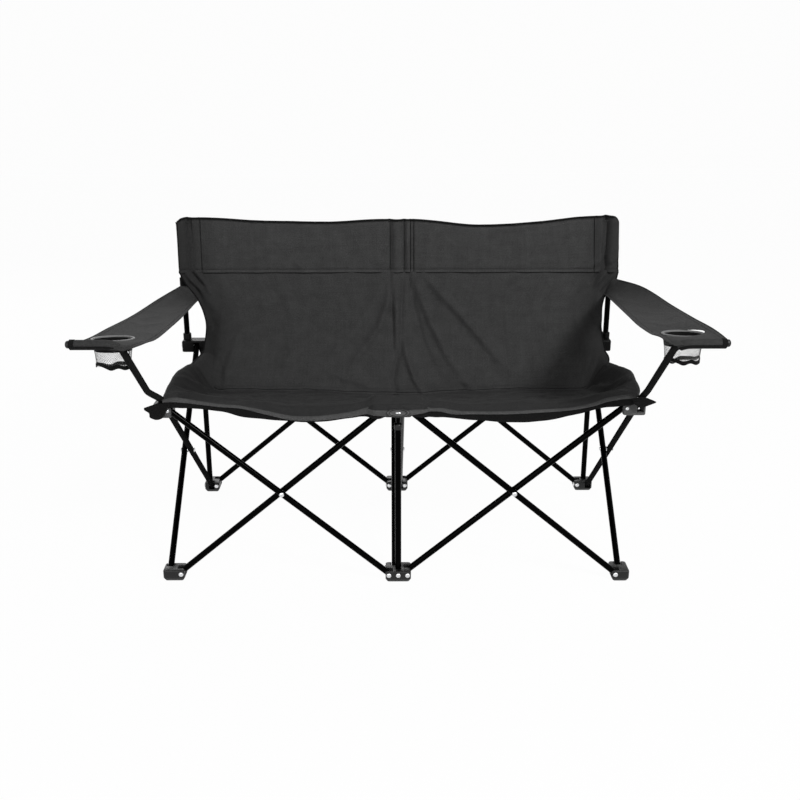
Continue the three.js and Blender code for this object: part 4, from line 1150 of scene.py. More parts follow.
def cloth_grid(name, columns, rows, point, material, u_metres, v_metres, thickness=CLOTH, hole=None):
    """point gives a place for two shares, across and along. A hole is a middle and a radius, and the
    grid's points within RIM of it are pulled onto its edge."""
    places = [(i / columns, j / rows) for j in range(rows + 1) for i in range(columns + 1)]
    verts = [point(i, j) for i, j in places]
    measured(name, verts, columns, rows, hole)
    uvs = [(i * u_metres, j * v_metres) for i, j in places]
    n = columns + 1
    faces = [(j * n + i, j * n + i + 1, (j + 1) * n + i + 1, (j + 1) * n + i)
             for j in range(rows) for i in range(columns)]
    if hole:
        middle, radius = hole
        away = [math.dist(v[:2], middle[:2]) for v in verts]
        faces = [f for f in faces if min(away[k] for k in f) > radius - RIM]
        for k, r in enumerate(away):
            if radius - RIM < r < radius + RIM:
                flat = (verts[k] - middle) * (radius / r)
                verts[k] = Vector((middle.x + flat.x, middle.y + flat.y, verts[k].z))
        used = sorted({k for f in faces for k in f})
        place = {k: i for i, k in enumerate(used)}
        verts, uvs = [verts[k] for k in used], [uvs[k] for k in used]
        faces = [tuple(place[k] for k in f) for f in faces]
    obj = mesh_object(name, verts, faces, material, sharp=80, uvs=uvs)
    solid = obj.modifiers.new("thickness", "SOLIDIFY")
    solid.thickness, solid.offset = thickness, 0
    apply_modifiers(obj)
    obj.data.set_sharp_from_angle(angle=math.radians(80))
    return obj


def slung(obj, body, *nodes):
    dress(obj, body, "cloth", *nodes)
    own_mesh(obj)
    return obj


def u_of(share):
    return 2 * share - 1


FOLD_SHARE = (FOLD_Y - LIP_Y) / (CREASE_Y - LIP_Y)
OVERLAP = 0.008
LAP_DROP = Vector((0, 0, 0.0003))
seat_front = cloth_grid("seat_front_cloth", 330, 72,
                        lambda i, j: seat_point(u_of(i), (FOLD_SHARE + OVERLAP) * j ** 1.3),
                        SEAT_SHADED_FINISH, 1.16, 0.300)
slung(seat_front, "seat_front", "seat_cloth_front")
seat_rear = cloth_grid("seat_rear_cloth", 330, 34,
                       lambda i, j: seat_point(u_of(i), lerp(FOLD_SHARE, 1 + OVERLAP, j)) - LAP_DROP,
                       SEAT_SHADED_FINISH, 1.16, 0.125)
slung(seat_rear, "seat_rear", "seat_cloth_rear")
back_panel = cloth_grid("back_panel_cloth", 340, 104,
                        lambda i, j: back_point(u_of(i), lerp(BAND_Z + 0.006, CREASE_Z, j)),
                        PANEL_LIT_FINISH, 1.20, 0.360)
slung(back_panel, "back_panel", "back_cloth_panel")
band = cloth_grid("back_band_cloth", 400, 56, lambda i, j: band_point(u_of(i), 1 - j),
                  BAND_LIT_FINISH, 1.28, 0.152)
slung(band, "hub_rear_centre", "back_cloth_band")
tell("seat and back cloth", "seat_", "back_panel_", "back_band_")


# %% [markdown]
# A trim is a narrow band sewn along an edge: it is one section swept along the edge's points. Stitches
# are made one by one. Each is a small bead of thread, half sunk in the cloth, laid end to end.

# %% Trims and stitches
def oval(a, b, sides=12):
    return [(a * x, b * y) for x, y in circle(1, sides)]


def trim(name, path, outline, material, up=UP):
    verts, faces = swept(path, outline, up)
    along, round_it = [0.0], [0.0]
    for one, two in zip(path, path[1:]):
        along.append(along[-1] + (two - one).length)
    for one, two in zip(outline, outline[1:]):
        round_it.append(round_it[-1] + math.dist(one, two))
    uvs = [(a, r) for a in along for r in round_it]
    return mesh_object(name, *capped(verts, faces, len(outline)), material, sharp=60, uvs=uvs)


STITCH_PITCH = 0.0036
STITCH_LENGTH = 0.0028
STITCH_R = 0.00075
QUARTERS = (0.0, math.pi / 2, math.pi, 1.5 * math.pi)


def stitches(name, path, lift):
    """Walks along the path and lays a bead at each step. lift is from the path up to the thread."""
    verts, faces = [], []
    steps = [(two - one).length for one, two in zip(path, path[1:])]
    total, walked, segment, done = sum(steps), STITCH_PITCH / 2, 0, 0.0
    while walked < total - STITCH_PITCH / 2:
        while done + steps[segment] < walked:
            done += steps[segment]
            segment += 1
        one, two = path[segment], path[segment + 1]
        along = (two - one).normalized()
        middle = one + along * (walked - done) + lift
        side = along.cross(lift).normalized()
        up = side.cross(along)
        first = len(verts)
        verts.append(middle - along * STITCH_LENGTH / 2)
        for share in (-0.3, 0.3):
            ring = [side * math.cos(t) + up * math.sin(t) for t in QUARTERS]
            verts += [middle + along * STITCH_LENGTH * share + r * STITCH_R for r in ring]
        verts.append(middle + along * STITCH_LENGTH / 2)
        for k in range(4):
            a, b = first + 1 + k, first + 1 + (k + 1) % 4
            faces += [(first, b, a), (a, b, b + 4, a + 4), (a + 4, b + 4, first + 9)]
        walked += STITCH_PITCH
    return mesh_object(name, verts, faces, THREAD_FINISH, sharp=80)


def edge_of(point, start, end, count):
    return [point(lerp(start, end, i / count)) for i in range(count + 1)]


print("stitches", round(0.01 / STITCH_PITCH, 1), "to the centimetre")


# %% [markdown]
# The front edge of the seat is bound with a lighter tape, which rolls over the edge and hangs a
# centimetre in front. Under it a black sheet paints the shade below the lip, deeper towards the outer hubs.

# %% Front binding and the painted shade under it
LIP_SECTION_Y = curve([
    (0, 0.0032), (0.3, 0.0014), (0.42, -0.0012), (0.55, -0.0024), (0.8, -0.0026),
    (1, -0.0020)])
THIN_CLOTH = 0.0012
OVER = 0.0017
EDGE_AT = 0.3


def binding_point(u, v):
    """v runs from the tape's back edge on the seat, over the lip at EDGE_AT and down to its front edge."""
    edge = seat_point(u, 0)
    forward = LIP_SECTION_Y(v)
    if v < EDGE_AT:
        back = seat_point(u, forward / (CREASE_Y - LIP_Y))
        return Vector((edge.x, back.y, min(back.z, edge.z + 0.003) + OVER))
    drop = smoothstep(v, EDGE_AT, 1.0)
    return Vector((edge.x, edge.y + forward, edge.z + OVER - drop * (LIP_HEIGHT(edge.x) + OVER)))


binding = cloth_grid("seat_front_binding", 200, 12, lambda i, j: binding_point(u_of(i), 1 - j),
                     LIP_FINISH, 1.16, 0.022, THIN_CLOTH)
slung(binding, "seat_front")


def front_hem_point(u, v):
    edge = seat_point(u, 0)
    x = edge.x
    z = lerp(LIP_Z(x) + 0.004, LIP_Z(x) - UNDER_LIP_SHADE_HEIGHT(x), v)
    sway = 0.0016 * math.sin(38 * x) + 0.0010 * math.sin(91 * x + 1)
    y = edge.y + 0.0004 - 0.0016 * near_outer_hub(x) + sway * v * (1 - smoothstep(abs(x), 0.49, 0.53))
    return Vector((x, y, z))


# Painted shade: a black sheet hangs under the lip where the seat's front edge is in shade.
under_lip_shade = cloth_grid("seat_front_hem", 200, 8, lambda i, j: front_hem_point(u_of(i), 1 - j),
                       LINING_AND_SHADE_FINISH, 1.16, 0.026, THIN_CLOTH)
slung(under_lip_shade, "seat_front")
tell("binding and shade under the lip", "seat_front_binding", "seat_front_hem")


# %% [markdown]
# At its two front corners the seat has a pocket of black lining cloth, which slips over the hub's end.
# It is one small puckered sheet between two measured outlines.

# %% Black pockets at the front corners
POCKET_BEND_Z = 0.4925
POCKET_TOP = {
    "left": [(-0.545, 0.4960), (-0.567, 0.4950), (-0.590, 0.4920), (-0.6155, 0.4835)],
    "right": [(0.565, 0.5060), (0.588, 0.5110), (0.612, 0.5030), (0.6256, 0.4965)]}
POCKET_LOW = {
    "left": [(-0.567, 0.4800), (-0.5705, 0.4597), (-0.5887, 0.4520), (-0.6045, 0.4597), (-0.6040, 0.4687),
             (-0.6155, 0.4780)],
    "right": [(0.573, 0.4905), (0.5855, 0.4828), (0.5904, 0.4776), (0.605, 0.4841), (0.622, 0.4918),
              (0.6256, 0.4945)]}


def along_outline(outline, share):
    last = len(outline) - 1
    return [curve([(k / last, place[axis]) for k, place in enumerate(outline)])(share) for axis in (0, 1)]


def pocket_point(name, i, j):
    top, low = along_outline(POCKET_TOP[name], i), along_outline(POCKET_LOW[name], i)
    x, z = lerp(low[0], top[0], j), lerp(low[1], top[1], j)
    belly = 0.0045 * math.sin(math.pi * j) * math.sin(math.pi * min(i + 0.15, 1)) + 0.0015 * math.sin(9 * i)
    return at(x, HUB_FACE_Y - 0.0036 - belly - 0.50 * max(z - POCKET_BEND_Z, 0), z)


for name, side in SIDES.items():
    pocket = cloth_grid(f"seat_corner_pocket_{name}", 24, 14,
                        lambda i, j: pocket_point(name, 1 - i if side < 0 else i, j),
                        LINING_AND_SHADE_FINISH, 0.07, 0.04, 0.0014)
    slung(pocket, "seat_front")
tell("corner pockets", "seat_corner_")


# %% [markdown]
# A flat oval cap closes the middle hub at the front, with a rivet in its middle and two dark beads that
# paint the shade lines at its outline and in its inner groove.
# It is turned on a lathe and then pressed flat, which gives the round shoulder the real one has.

# %% Cap over the front centre hub
CAP_R = 0.0275
CAP = [(0, 0.0012), (0.60, 0.0012), (0.72, 0.0016), (0.80, 0.0036), (0.92, 0.0040), (1.0, 0.0026),
       (1.0, -0.0006), (0.96, -0.0020), (0, -0.0020)]
CAP_HEAD = [(0.0078, 0.0006), (0.0074, 0.0018), (0.0058, 0.0030), (0.0030, 0.0038), (0, 0.0040)]
CAP_PLACE = at(0, -0.3262, 0.4695)
CAP_TURN = Matrix.Rotation(math.radians(70), 3, "X")
ORIGIN = Vector((0, 0, 0))


def add_cap_piece(name, points, faces, flat, finish, slot, sharp):
    """Presses a turned shape flat, tips it back and puts it on the hub."""
    placed = [CAP_PLACE + CAP_TURN @ Vector((p.x, p.y * flat, p.z)) for p in points]
    dress(mesh_object(name, placed, faces, finish, sharp=sharp), "hub_front_centre", slot)


turned_cap = lathe([(CAP_R * r, h) for r, h in CAP], ORIGIN, sides=48)
add_cap_piece("hub_front_centre_cap", *turned_cap, 0.36, HUB_CAP_FINISH, "hub", 50)
add_cap_piece("hub_front_centre_cap_rivet", *lathe(CAP_HEAD, ORIGIN), 0.40, RIVET_FINISH, "rivet", 60)
# Painted shade: two thin black rings, round the cap's outline and in its inner groove.
for shade_ring, across, ahead in (("outer", 0.0280, 0.0002), ("inner", 0.0216, 0.0042)):
    ring = [CAP_PLACE + CAP_TURN @ Vector((across * x, across * 0.38 * y, ahead)) for x, y in circle(1, 72)]
    bead = swept(ring + ring[:1], circle(0.0009, 8))
    edge = mesh_object(f"hub_front_centre_cap_{shade_ring}_edge", *bead, FOOT_AND_SHADE_FINISH)
    dress(edge, "hub_front_centre", "hub")
tell("cap", "hub_front_centre_cap")


# %% [markdown]
# A black tape binds the back all round: along the top edge, down both sides of the band and on down the
# sides of the panel. The seat's rising sides end in a narrow turned hem of their own cloth.

# %% Edge tapes
def inset_path(path, inset):
    """Moves a path to its right, seen from the front, by inset."""
    last, moved = len(path) - 1, []
    for i, point in enumerate(path):
        ahead = path[min(i + 1, last)] - path[max(i - 1, 0)]
        moved.append(point + Vector((ahead.z, 0, -ahead.x)).normalized() * inset)
    return moved


band_edge = edge_of(lambda v: band_point(-1, v), 0, 59 / 60, 59)
band_edge += edge_of(lambda u: band_point(u, 1.0), -1, 1, 420)
band_edge += edge_of(lambda v: band_point(1, v), 59 / 60, 0, 59)
band_tape = trim("back_band_tape", inset_path(band_edge, 0.0026), oval(0.0032, 0.0020), TAPE_AND_SHADE_FINISH)
slung(band_tape, "hub_rear_centre")
for name, side in SIDES.items():
    path = edge_of(lambda z: back_point(side, z) + Vector((-side * 0.0015, 0, 0)), CREASE_Z, BAND_Z, 80)
    tape = trim(f"back_panel_side_tape_{name}", path, oval(0.0038, 0.0016), TAPE_AND_SHADE_FINISH, BACKWARD)
    slung(tape, "back_panel")
    for body, start, end in (("seat_front", 0.004, FOLD_SHARE + 0.004),
                             ("seat_rear", FOLD_SHARE + 0.002, 1.0)):
        path = edge_of(lambda j: seat_point(side, j), start, end, 60)
        slung(trim(f"{body}_side_hem_{name}", path, oval(0.0034, 0.0014), CLOTH_FINISH), body)
tell("tapes and side hems", "back_band_tape", "back_panel_side_", "seat_front_side_", "seat_rear_side_")


# %% [markdown]
# The back hangs on its posts by three sleeves, sewn to the band's rear and closed at the top. Each is a
# strip that runs round its post, so the post can be seen from behind where it goes in.

# %% Sleeves behind the band
SLEEVE_R = 0.0100
SLEEVE_BACK = 0.0075
SLEEVE_REACH = {"left": (-0.0080, 0.0420), "centre": (-0.0300, 0.0300), "right": (-0.0420, 0.0080)}
SLEEVE_TOP_GAP = {"left": 0.014, "centre": 0.003, "right": 0.014}


def sleeve_point(name, i, j):
    """i runs over a flat flap, half round the post behind the band and over a second flap."""
    post = COLUMNS[name] * BACK_POST_X
    left, right = SLEEVE_REACH[name]
    if i < 0.25:
        share = i / 0.25
        x, back = lerp(left, -SLEEVE_R, share), SLEEVE_BACK * smoothstep(share, 0, 1)
    elif i > 0.75:
        share = (i - 0.75) / 0.25
        x, back = lerp(SLEEVE_R, right, share), SLEEVE_BACK * (1 - smoothstep(share, 0, 1))
    else:
        turn = math.pi * (i - 0.25) / 0.5
        x, back = -SLEEVE_R * math.cos(turn), SLEEVE_BACK + SLEEVE_R * math.sin(turn)
    closed = 1 - smoothstep(j, 0.93, 1.0) ** 2
    z = lerp(BAND_Z + 0.001, TOP_Z(post) - SLEEVE_TOP_GAP[name], j)
    return at(post + x, BAND_Y + 0.0020 + back * closed, z)


for name in COLUMNS:
    sleeve = cloth_grid(f"back_sleeve_{name}", 40, 24, lambda i, j: sleeve_point(name, 1 - i, j),
                        CLOTH_FINISH, 0.075, 0.150, THIN_CLOTH)
    slung(sleeve, "hub_rear_centre")
tell("sleeves", "back_sleeve_")


# %% [markdown]
# Rows of thread close the band's hem, the sleeves' seams and the seam between seat and back. A picture
# of stitches would be flat from the side, so they are real beads of thread. Beside them lie fine dark cords
# that paint the shade in the seams and the crease.

# %% Stitches of the seat and back
LIFT_FRONT = Vector((0, -0.0010, 0))
LIFT_TOP = Vector((0, -0.0003, 0.0010))
runs = {
    "hub_rear_centre": [edge_of(lambda u: band_point(u, 0.055), -0.985, 0.985, 260),
                        edge_of(lambda u: band_point(u, 0.010), -0.985, 0.985, 260),
                        edge_of(lambda u: band_point(u, 0.955), -0.975, 0.975, 260)],
    "back_panel": [edge_of(lambda u: back_point(u, CREASE_Z + 0.0120), -0.86, 0.86, 200)],
    "seat_rear": [edge_of(lambda u: seat_point(u, 0.980), -0.86, 0.86, 200)],
}


def add_welt(name, path, move, section, body, up=UP):
    moved = [point + Vector(move) for point in path]
    slung(trim(name, moved, oval(*section, 8), TAPE_AND_SHADE_FINISH, up), body)


# Painted shade: dark cords along the seams and the crease stand for the shadow lines in them.
for i, seam in enumerate(SLEEVE_SEAMS):
    u = seam / (0.635 if seam < 0 else 0.648)
    runs["hub_rear_centre"].append(edge_of(lambda v: band_point(u, v), 0.06, 0.95, 60))
    add_welt(f"back_band_seam_{i}", edge_of(lambda v: band_point(u, v), 0.02, 0.97, 60),
             (0.0012, -0.0013, 0), (0.0011, 0.0010), "hub_rear_centre", BACKWARD)
add_welt("back_band_welt", edge_of(lambda u: band_point(u, 0.0), -0.975, 0.975, 300),
         (0, -0.0006, 0), (0.0011, 0.0013), "hub_rear_centre")
add_welt("back_panel_welt", edge_of(lambda u: back_point(u, CREASE_Z + 0.0040), -0.90, 0.90, 300),
         (0, -0.0007, 0), (0.0010, 0.0012), "back_panel")
for body, paths in runs.items():
    for i, path in enumerate(paths):
        lift = LIFT_TOP if body == "seat_rear" else LIFT_FRONT
        slung(stitches(f"{body}_stitches_{i}", path, lift), body)
tell("rows of stitches and shade lines", "hub_rear_centre_stitches", "back_panel_stitches",
     "seat_rear_stitches", "back_band_seam", "back_band_welt", "back_panel_welt")


# %% [markdown]
# The arm cloth is a strip from the bar in its front hem to a strap round the back post. Its edges come
# from tables too. It is in two pieces, because the front one turns with the arm tube when the frame
# folds, while the rear one hangs from the post.

# %% Shape of the arm cloth
ARM_INNER_X = {
    -1: curve([(-0.556, 0.590), (-0.548, 0.574), (-0.520, 0.556), (-0.450, 0.547), (-0.360, 0.5415),
               (-0.200, 0.545), (-0.006, 0.556), (0.150, 0.572), (0.285, 0.5845)]),
    1: curve([(-0.556, 0.592), (-0.548, 0.582), (-0.520, 0.574), (-0.450, 0.568), (-0.360, 0.5663),
              (-0.200, 0.574), (-0.006, 0.586), (0.150, 0.599), (0.285, 0.611)])}
ARM_INNER_Z = {
    -1: curve([(-0.556, 0.694), (-0.548, 0.6985), (-0.520, 0.700), (-0.450, 0.690), (-0.360, 0.685),
               (-0.200, 0.670), (-0.006, 0.650), (0.150, 0.628), (0.285, 0.609)]),
    1: curve([(-0.556, 0.703), (-0.548, 0.7080), (-0.520, 0.711), (-0.450, 0.7010), (-0.360, 0.6928),
              (-0.200, 0.679), (-0.006, 0.661), (0.150, 0.643), (0.285, 0.624)])}
ARM_OUTER_X = {
    -1: curve([(-0.556, 0.704), (-0.540, 0.706), (-0.450, 0.700), (-0.300, 0.690), (-0.130, 0.676),
               (0.100, 0.655), (0.285, 0.632)]),
    1: curve([(-0.556, 0.704), (-0.540, 0.707), (-0.450, 0.707), (-0.300, 0.705), (-0.130, 0.700),
              (0.100, 0.675), (0.285, 0.640)])}
ARM_OUTER_Z = {
    -1: curve([(-0.556, 0.712), (-0.530, 0.706), (-0.450, 0.6900), (-0.300, 0.6764), (-0.130, 0.6626),
               (0.100, 0.6548), (0.285, 0.649)]),
    1: curve([(-0.556, 0.713), (-0.520, 0.713), (-0.450, 0.7105), (-0.300, 0.698), (-0.130, 0.687),
              (0.100, 0.685), (0.285, 0.668)])}
CUP_DIP = {-1: 0.0, 1: 0.009}
CUP_Y = -0.435
CUP_SHARE = 0.62
HOLE_R = 0.0462
ARM_FRONT_Y = -0.556
SPLIT_Y = -0.376
ARM_REAR_Y = 0.285


def arm_point(side, e, y):
    """e runs from 0 at the inner edge to 1 at the outer one."""
    x = lerp(ARM_INNER_X[side](y), ARM_OUTER_X[side](y), e)
    z = lerp(ARM_INNER_Z[side](y), ARM_OUTER_Z[side](y), e)
    slack = math.sin(math.pi * e) * smoothstep(y, -0.55, -0.30) * (1 - smoothstep(y, 0.12, 0.28))
    z -= 0.006 * slack + CUP_DIP[side] * math.sin(math.pi * e) * math.exp(-((y - CUP_Y) / 0.065) ** 2)
    calm = smoothstep(y, -0.53, -0.48) * (1 - math.exp(-((y + 0.434) / 0.06) ** 2))
    calm *= min(6 * e * (1 - e), 1) * (1 - smoothstep(y, 0.16, 0.27))
    z += crumpled(x, y, 31 + side, 1.4) * 0.8 * calm
    z += 0.014 * math.sin(math.pi * e) * smoothstep(y, 0.22, ARM_REAR_Y)
    return Vector((side * x, y + MID_Y, z))


def arm_ring(name):
    """The middle of the cup's hole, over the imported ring, and the way up from the cloth there."""
    side = SIDES[name]
    here, ahead, behind = (arm_point(side, CUP_SHARE, CUP_Y + step) for step in (0, -0.025, 0.025))
    up = Vector((1, 0, 0)).cross((behind - ahead).normalized()).normalized()
    middle = middle_of(f"cup_ring_{name}")
    return Vector((middle.x, middle.y, here.z)), up


def ride_rear(obj, name):
    """The rear of an arm hangs from its post."""
    dress(obj, f"hub_rear_{name}", "arm_cloth")
    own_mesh(obj)


def arm_place(side, i, start, end, j):
    """i and j are shares of the grid, from left to right and from start to end along the arm."""
    return arm_point(side, i if side > 0 else 1 - i, lerp(start, end, j))


for name, side in SIDES.items():
    centre, up = arm_ring(name)
    front = cloth_grid(f"arm_front_cloth_{name}", 56, 72,
                       lambda i, j: arm_place(side, i, SPLIT_Y, ARM_FRONT_Y, 1 - j),
                       ARM_LIT_FINISH, 0.15, 0.18, hole=(centre, HOLE_R))
    dress(front, f"arm_tube_{name}", "arm_cloth", f"arm_cloth_{name}")
    rear = cloth_grid(f"arm_rear_cloth_{name}", 36, 110,
                      lambda i, j: arm_place(side, i, SPLIT_Y - 0.003, ARM_REAR_Y, j),
                      ARM_LIT_FINISH, 0.13, 0.66)
    ride_rear(rear, name)
tell("arm cloths", "arm_front_cloth_", "arm_rear_cloth_")


# %% [markdown]
# At the arm's front, the cloth runs round the bar as a sleeve. A black tape binds the sleeve's outer end,
# and a black strip under the bar paints the shade on the sleeve's underside. The sleeve follows the tube's
# bend a little way, as the sewn one does.

# %% Front sleeves of the arms
SHELL_SIDES = 28


def bar_path(side, start, end_turn, count=40):
    """Runs in from the bar's outer end and a little way down its bend."""
    corner_x, path = ARM_X + ARM_BEND_R, []
    for i in range(count + 1):
        path.append(at(side * lerp(start, corner_x, i / count), BAR_Y, BAR_Z))
    for i in range(1, count // 2 + 1):
        turn = lerp(math.pi / 2, end_turn, i / (count // 2))
        low = ALONG * (ARM_BEND_R * (math.sin(turn) - 1))
        x = ARM_X + ARM_BEND_R * (1 - math.cos(turn))
        path.append(at(side * x, BAR_Y + low.y, BAR_Z + low.z))
    return path


def sleeve_shell(name, path, outer_r, inner_r, finish, ripple):
    outline = [(outer_r * x * (1 + ripple * math.sin(3 * k)), outer_r * y)
               for k, (x, y) in enumerate(circle(1, SHELL_SIDES))]
    outer, faces = swept(path, outline)
    inner, _ = swept(path, circle(inner_r, SHELL_SIDES))
    uvs = [(i // SHELL_SIDES * 0.003, i % SHELL_SIDES * 0.0023) for i in range(len(outer))] * 2
    return mesh_object(name, *shell(outer, inner, faces, SHELL_SIDES), finish, sharp=60, uvs=uvs)


UP_AHEAD = Vector((0, 0.707, 0.707))
for name, side in SIDES.items():
    bar = bar_path(side, 0.7025, math.radians(38))
    sleeve = sleeve_shell(f"arm_front_sleeve_{name}", bar, 0.0102, 0.0086, ARM_LIT_FINISH, 0.02)
    bar_end = [at(side * x, BAR_Y, BAR_Z) for x in np.linspace(0.694, 0.7045, 5)]
    end = sleeve_shell(f"arm_end_binding_{name}", bar_end, 0.0110, 0.0098, TAPE_AND_SHADE_FINISH, 0.04)
    # Painted shade: a black strip along the bar's underside stands for the shade there.
    low = [p - UP_AHEAD * 0.0094 for p in bar_path(side, 0.7035, math.radians(40))]
    edge = trim(f"arm_front_binding_{name}", low, oval(0.0066, 0.0024), TAPE_AND_SHADE_FINISH, UP_AHEAD)
    for piece in (sleeve, end, edge):
        dress(piece, f"arm_tube_{name}", "arm_cloth")
tell("front sleeves", "arm_front_sleeve_", "arm_end_binding_", "arm_front_binding_")


# %% [markdown]
# The ring is a nylon moulding in two halves that clip through the cut hole. The upper one shows as a
# bright rim, so it is turned with a rounded lip. A short collar of black cloth lines the hole.

# %% Cup rings
RING_PROFILE = [(0.0440, 0.0015), (0.0490, 0.0013), (0.0494, 0.0022), (0.0486, 0.0036), (0.0468, 0.0044),
                (0.0448, 0.0042), (0.0434, 0.0034), (0.0424, 0.0016), (0.0422, -0.0120), (0.0440, -0.0120),
                (0.0440, 0.0015)]
LOWER_RING = [(0.0446, -0.0018), (0.0478, -0.0020), (0.0484, -0.0034), (0.0478, -0.0048), (0.0446, -0.0062),
              (0.0442, -0.0050), (0.0446, -0.0018)]
LINING = [(0.0421, 0.0010), (0.0417, 0.0010), (0.0409, -0.0240), (0.0413, -0.0240), (0.0421, 0.0010)]
RING_SIDES = 64
for name in SIDES:
    body = f"arm_tube_{name}"
    profiles = (RING_PROFILE, LOWER_RING, LINING)
    upper, lower, (verts, faces) = (lathe(p, *arm_ring(name), RING_SIDES) for p in profiles)
    ring = mesh_object(f"cup_ring_{name}_round", *upper, RING_FINISH, sharp=50)
    dress(ring, body, "ring", f"cup_ring_{name}")
    dress(mesh_object(f"cup_ring_{name}_under", *lower, FOOT_AND_SHADE_FINISH, sharp=50), body, "foot")
    uvs = [(i % RING_SIDES * 0.004, i // RING_SIDES * 0.018) for i in range(len(verts))]
    collar = mesh_object(f"cup_lining_{name}", verts, faces, LINING_AND_SHADE_FINISH, sharp=60, uvs=uvs)
    dress(collar, body, "arm_cloth")
tell("cup rings", "cup_ring_", "cup_lining_")


# %% [markdown]
# The cup is a bag of knotted net. A see-through picture on a cylinder would be simpler, but has no
# thickness, so the threads run as two slanting sets from the ring to the hem.

# %% Net cups
NET_TOP_R, NET_LOW_R, NET_DEPTH = 0.0447, 0.0395, 0.061
NET_COUNT = 52
YARN_R = 0.00024


def net_place(centre, turned, turn, depth_share):
    """A point of the net: turn goes round the cup and depth_share from the ring down to the hem."""
    radius = lerp(NET_TOP_R, NET_LOW_R, depth_share) - 0.0016 * math.sin(math.pi * depth_share)
    limp = 1 - 0.50 * depth_share ** 1.6
    wave = 0.0042 * math.sin(2 * turn + 0.6) + 0.0026 * math.sin(5 * turn + 1.0)
    wave += 0.0010 * math.sin(9 * turn)
    depth = -0.006 - (NET_DEPTH - 0.006) * depth_share + wave * depth_share ** 2
    return centre + turned @ Vector((radius * math.cos(turn), radius * limp * math.sin(turn), depth))


def thread(points, radius, sides=3):
    return swept(points, circle(radius, sides))


def joined(parts):
    verts, faces = [], []
    for more_verts, more_faces in parts:
        shift = len(verts)
        verts += more_verts
        faces += [tuple(i + shift for i in face) for face in more_faces]
    return verts, faces


def wall_thread(centre, turned, start, way):
    steps = 14
    return [net_place(centre, turned, start + way * 1.35 * i / steps, i / steps) for i in range(steps + 1)]


def floor_thread(centre, turned, start, way):
    foot = centre + turned @ Vector((0, 0, -NET_DEPTH - 0.002))
    path = []
    for i in range(9):
        share = i / 8
        rim = net_place(centre, turned, start + way * 0.9 * share, 1)
        path.append(rim.lerp(foot, share * 0.94))
    return path


def hem_place(centre, turned, i, j):
    turn = 2 * math.pi * i
    outward = turned @ Vector((math.cos(turn), math.sin(turn), 0))
    return net_place(centre, turned, turn, 0.87 + 0.15 * j) + outward * 0.0007


for name in SIDES:
    body = f"arm_tube_{name}"
    centre, up = arm_ring(name)
    turned = turned_to(up)
    threads = []
    for maker, count in ((wall_thread, NET_COUNT), (floor_thread, NET_COUNT // 2)):
        for k in range(count):
            for way in (-1, 1):
                threads.append(thread(maker(centre, turned, 2 * math.pi * k / count, way), YARN_R))
    net = mesh_object(f"cup_net_{name}_threads", *joined(threads), NET_FINISH, sharp=80)
    dress(net, body, "net", f"cup_net_{name}")
    seam = thread([net_place(centre, turned, -0.35, i / 16) for i in range(17)], 0.0009, 6)
    dress(mesh_object(f"cup_net_{name}_seam", *seam, THREAD_FINISH), body, "net")
    hem = cloth_grid(f"cup_net_{name}_hem", 96, 4, lambda i, j: hem_place(centre, turned, i, j),
                     NET_HEM_FINISH, 0.25, 0.009, 0.0016)
    dress(hem, body, "net")
tell("net cups", "cup_net_")


# %% [markdown]
# The arms' long edges are turned over: the outer one carries black tape and the inner one is bare.
# A strap of the same tape closes round the back post and holds the rear end.

# %% Hems and stitches of the arms
STRAP_R = 0.0104
STRAP_LOW_Z = 0.618
STRAP_TOP_Z = 0.672
ARM_EDGES = (("inner", 0.0, 0.07, oval(0.0030, 0.0015), ARM_LIT_FINISH),
             ("outer", 1.0, 0.93, oval(0.0019, 0.0015), TAPE_AND_SHADE_FINISH))


def strap_point(side, i, j):
    turn = 2 * math.pi * i
    return at(side * BACK_POST_X + STRAP_R * math.cos(turn), HALF + STRAP_R * math.sin(turn),
              lerp(STRAP_LOW_Z, STRAP_TOP_Z, j))


for name, side in SIDES.items():
    for piece, start, end in (("front", -0.552, SPLIT_Y - 0.0015), ("rear", SPLIT_Y - 0.0015, 0.283)):
        for edge, e, inset, outline, finish in ARM_EDGES:
            path = edge_of(lambda y: arm_point(side, e, y), start, end, 70)
            hem = trim(f"arm_{piece}_hem_{edge}_{name}", path, outline, finish)
            row = edge_of(lambda y: arm_point(side, inset, y), start, end, 90)
            seam = stitches(f"arm_{piece}_stitches_{edge}_{name}", row, Vector((0, 0, 0.0010)))
            for obj in (hem, seam):
                if piece == "rear":
                    ride_rear(obj, name)
                else:
                    dress(obj, f"arm_tube_{name}", "arm_cloth")
    strap = cloth_grid(f"arm_strap_{name}", 32, 10, lambda i, j: strap_point(side, i, j),
                       TAPE_AND_SHADE_FINISH, 0.066, 0.054, 0.0014)
    dress(strap, f"hub_rear_{name}", "arm_cloth")
tell("hems, stitches and straps", "arm_front_hem_", "arm_rear_hem_", "arm_front_stitches_",
     "arm_rear_stitches_", "arm_strap_")


# %% [markdown]
# Each cloth's size along its own surface, which is the size it was cut to, is printed.

# %% The cuts of the cloths
def declare(name):
    width, length, area = CUTS[name]
    min(area, width * length)
    print(name, "cut", round(width, 3), "x", round(length, 3), "m,", round(area, 4), "square metres")


declare("seat_front_cloth")
declare("seat_rear_cloth")
declare("back_panel_cloth")
declare("back_band_cloth")
for name in SIDES:
    declare(f"arm_front_cloth_{name}")
    declare(f"arm_rear_cloth_{name}")


# %% [markdown]
# The stage is a floor and a wall of the same white paper. Most of their light is their own, so they
# read as white, and the rest is lit, so the floor keeps the object's soft shadow.

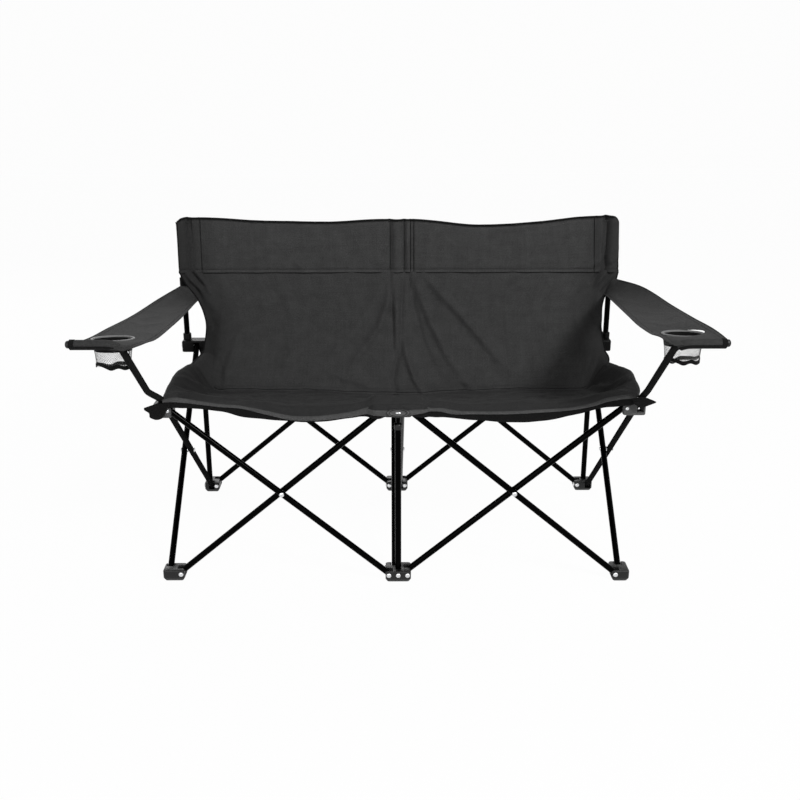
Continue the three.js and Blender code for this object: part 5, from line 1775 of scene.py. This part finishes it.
# %% Stage and lights
def seen_or_mirrored(tree):
    """1 for rays that the camera sees directly, in a reflection or through glass, and 0 for the rest."""
    path = tree.add("LightPath")
    mirrored = tree.math("MAXIMUM", path.outputs["Is Glossy Ray"], path.outputs["Is Transmission Ray"])
    return tree.math("MAXIMUM", path.outputs["Is Camera Ray"], mirrored)


def white_paper():
    tree = new_material("white_paper")
    glow = tree.add("Emission", Color=(1, 1, 1, 1), Strength=1.0)
    paper = tree.add("BsdfDiffuse", Color=(0.9, 0.9, 0.9, 1))
    mix = tree.add("MixShader")
    tree.put(mix, "0", tree.math("MULTIPLY", seen_or_mirrored(tree), 0.97))
    tree.put(mix, "1", paper.outputs[0])
    tree.put(mix, "2", glow.outputs[0])
    tree.put(tree.nodes["Material Output"], "Surface", mix.outputs[0])
    return tree.owner


def add_stage():
    near, far, top = -30, 9, 14
    corners = [(-30, near, 0), (30, near, 0), (30, far, 0), (-30, far, 0), (30, far, top), (-30, far, top)]
    stage = mesh_object("paper_sweep", corners, [(0, 1, 2, 3), (3, 2, 4, 5)], white_paper())


def add_world():
    tree = Tree(bpy.data.worlds.new("studio"))
    bpy.context.scene.world = tree.owner
    background = tree.nodes["Background"]
    tree.put(background, "Color", (1, 1, 1, 1))
    tree.put(background, "Strength", tree.spread(seen_or_mirrored(tree), 0, 1, 0.26, 1.0))


def add_area(name, place, target, size, power):
    data = bpy.data.lights.new(name, "AREA")
    data.shape, data.size, data.size_y, data.energy = "RECTANGLE", size[0], size[1], power
    lamp = bpy.data.objects.new(name, data)
    bpy.context.scene.collection.objects.link(lamp)
    lamp.location = place
    lamp.rotation_euler = (Vector(target) - Vector(place)).to_track_quat("-Z", "Y").to_euler()


add_stage()
add_world()
add_area("key", (2.3, -3.0, 3.3), (0, 0.1, 0.5), (1.4, 0.9), 142)
add_area("fill", (-1.6, -3.2, 1.4), (0, 0.1, 0.5), (2.0, 1.4), 26)
add_area("rear", (-0.8, 3.4, 2.2), (0, 0.2, 0.5), (2.4, 1.6), 45)
bpy.context.scene.view_settings.view_transform = "Standard"
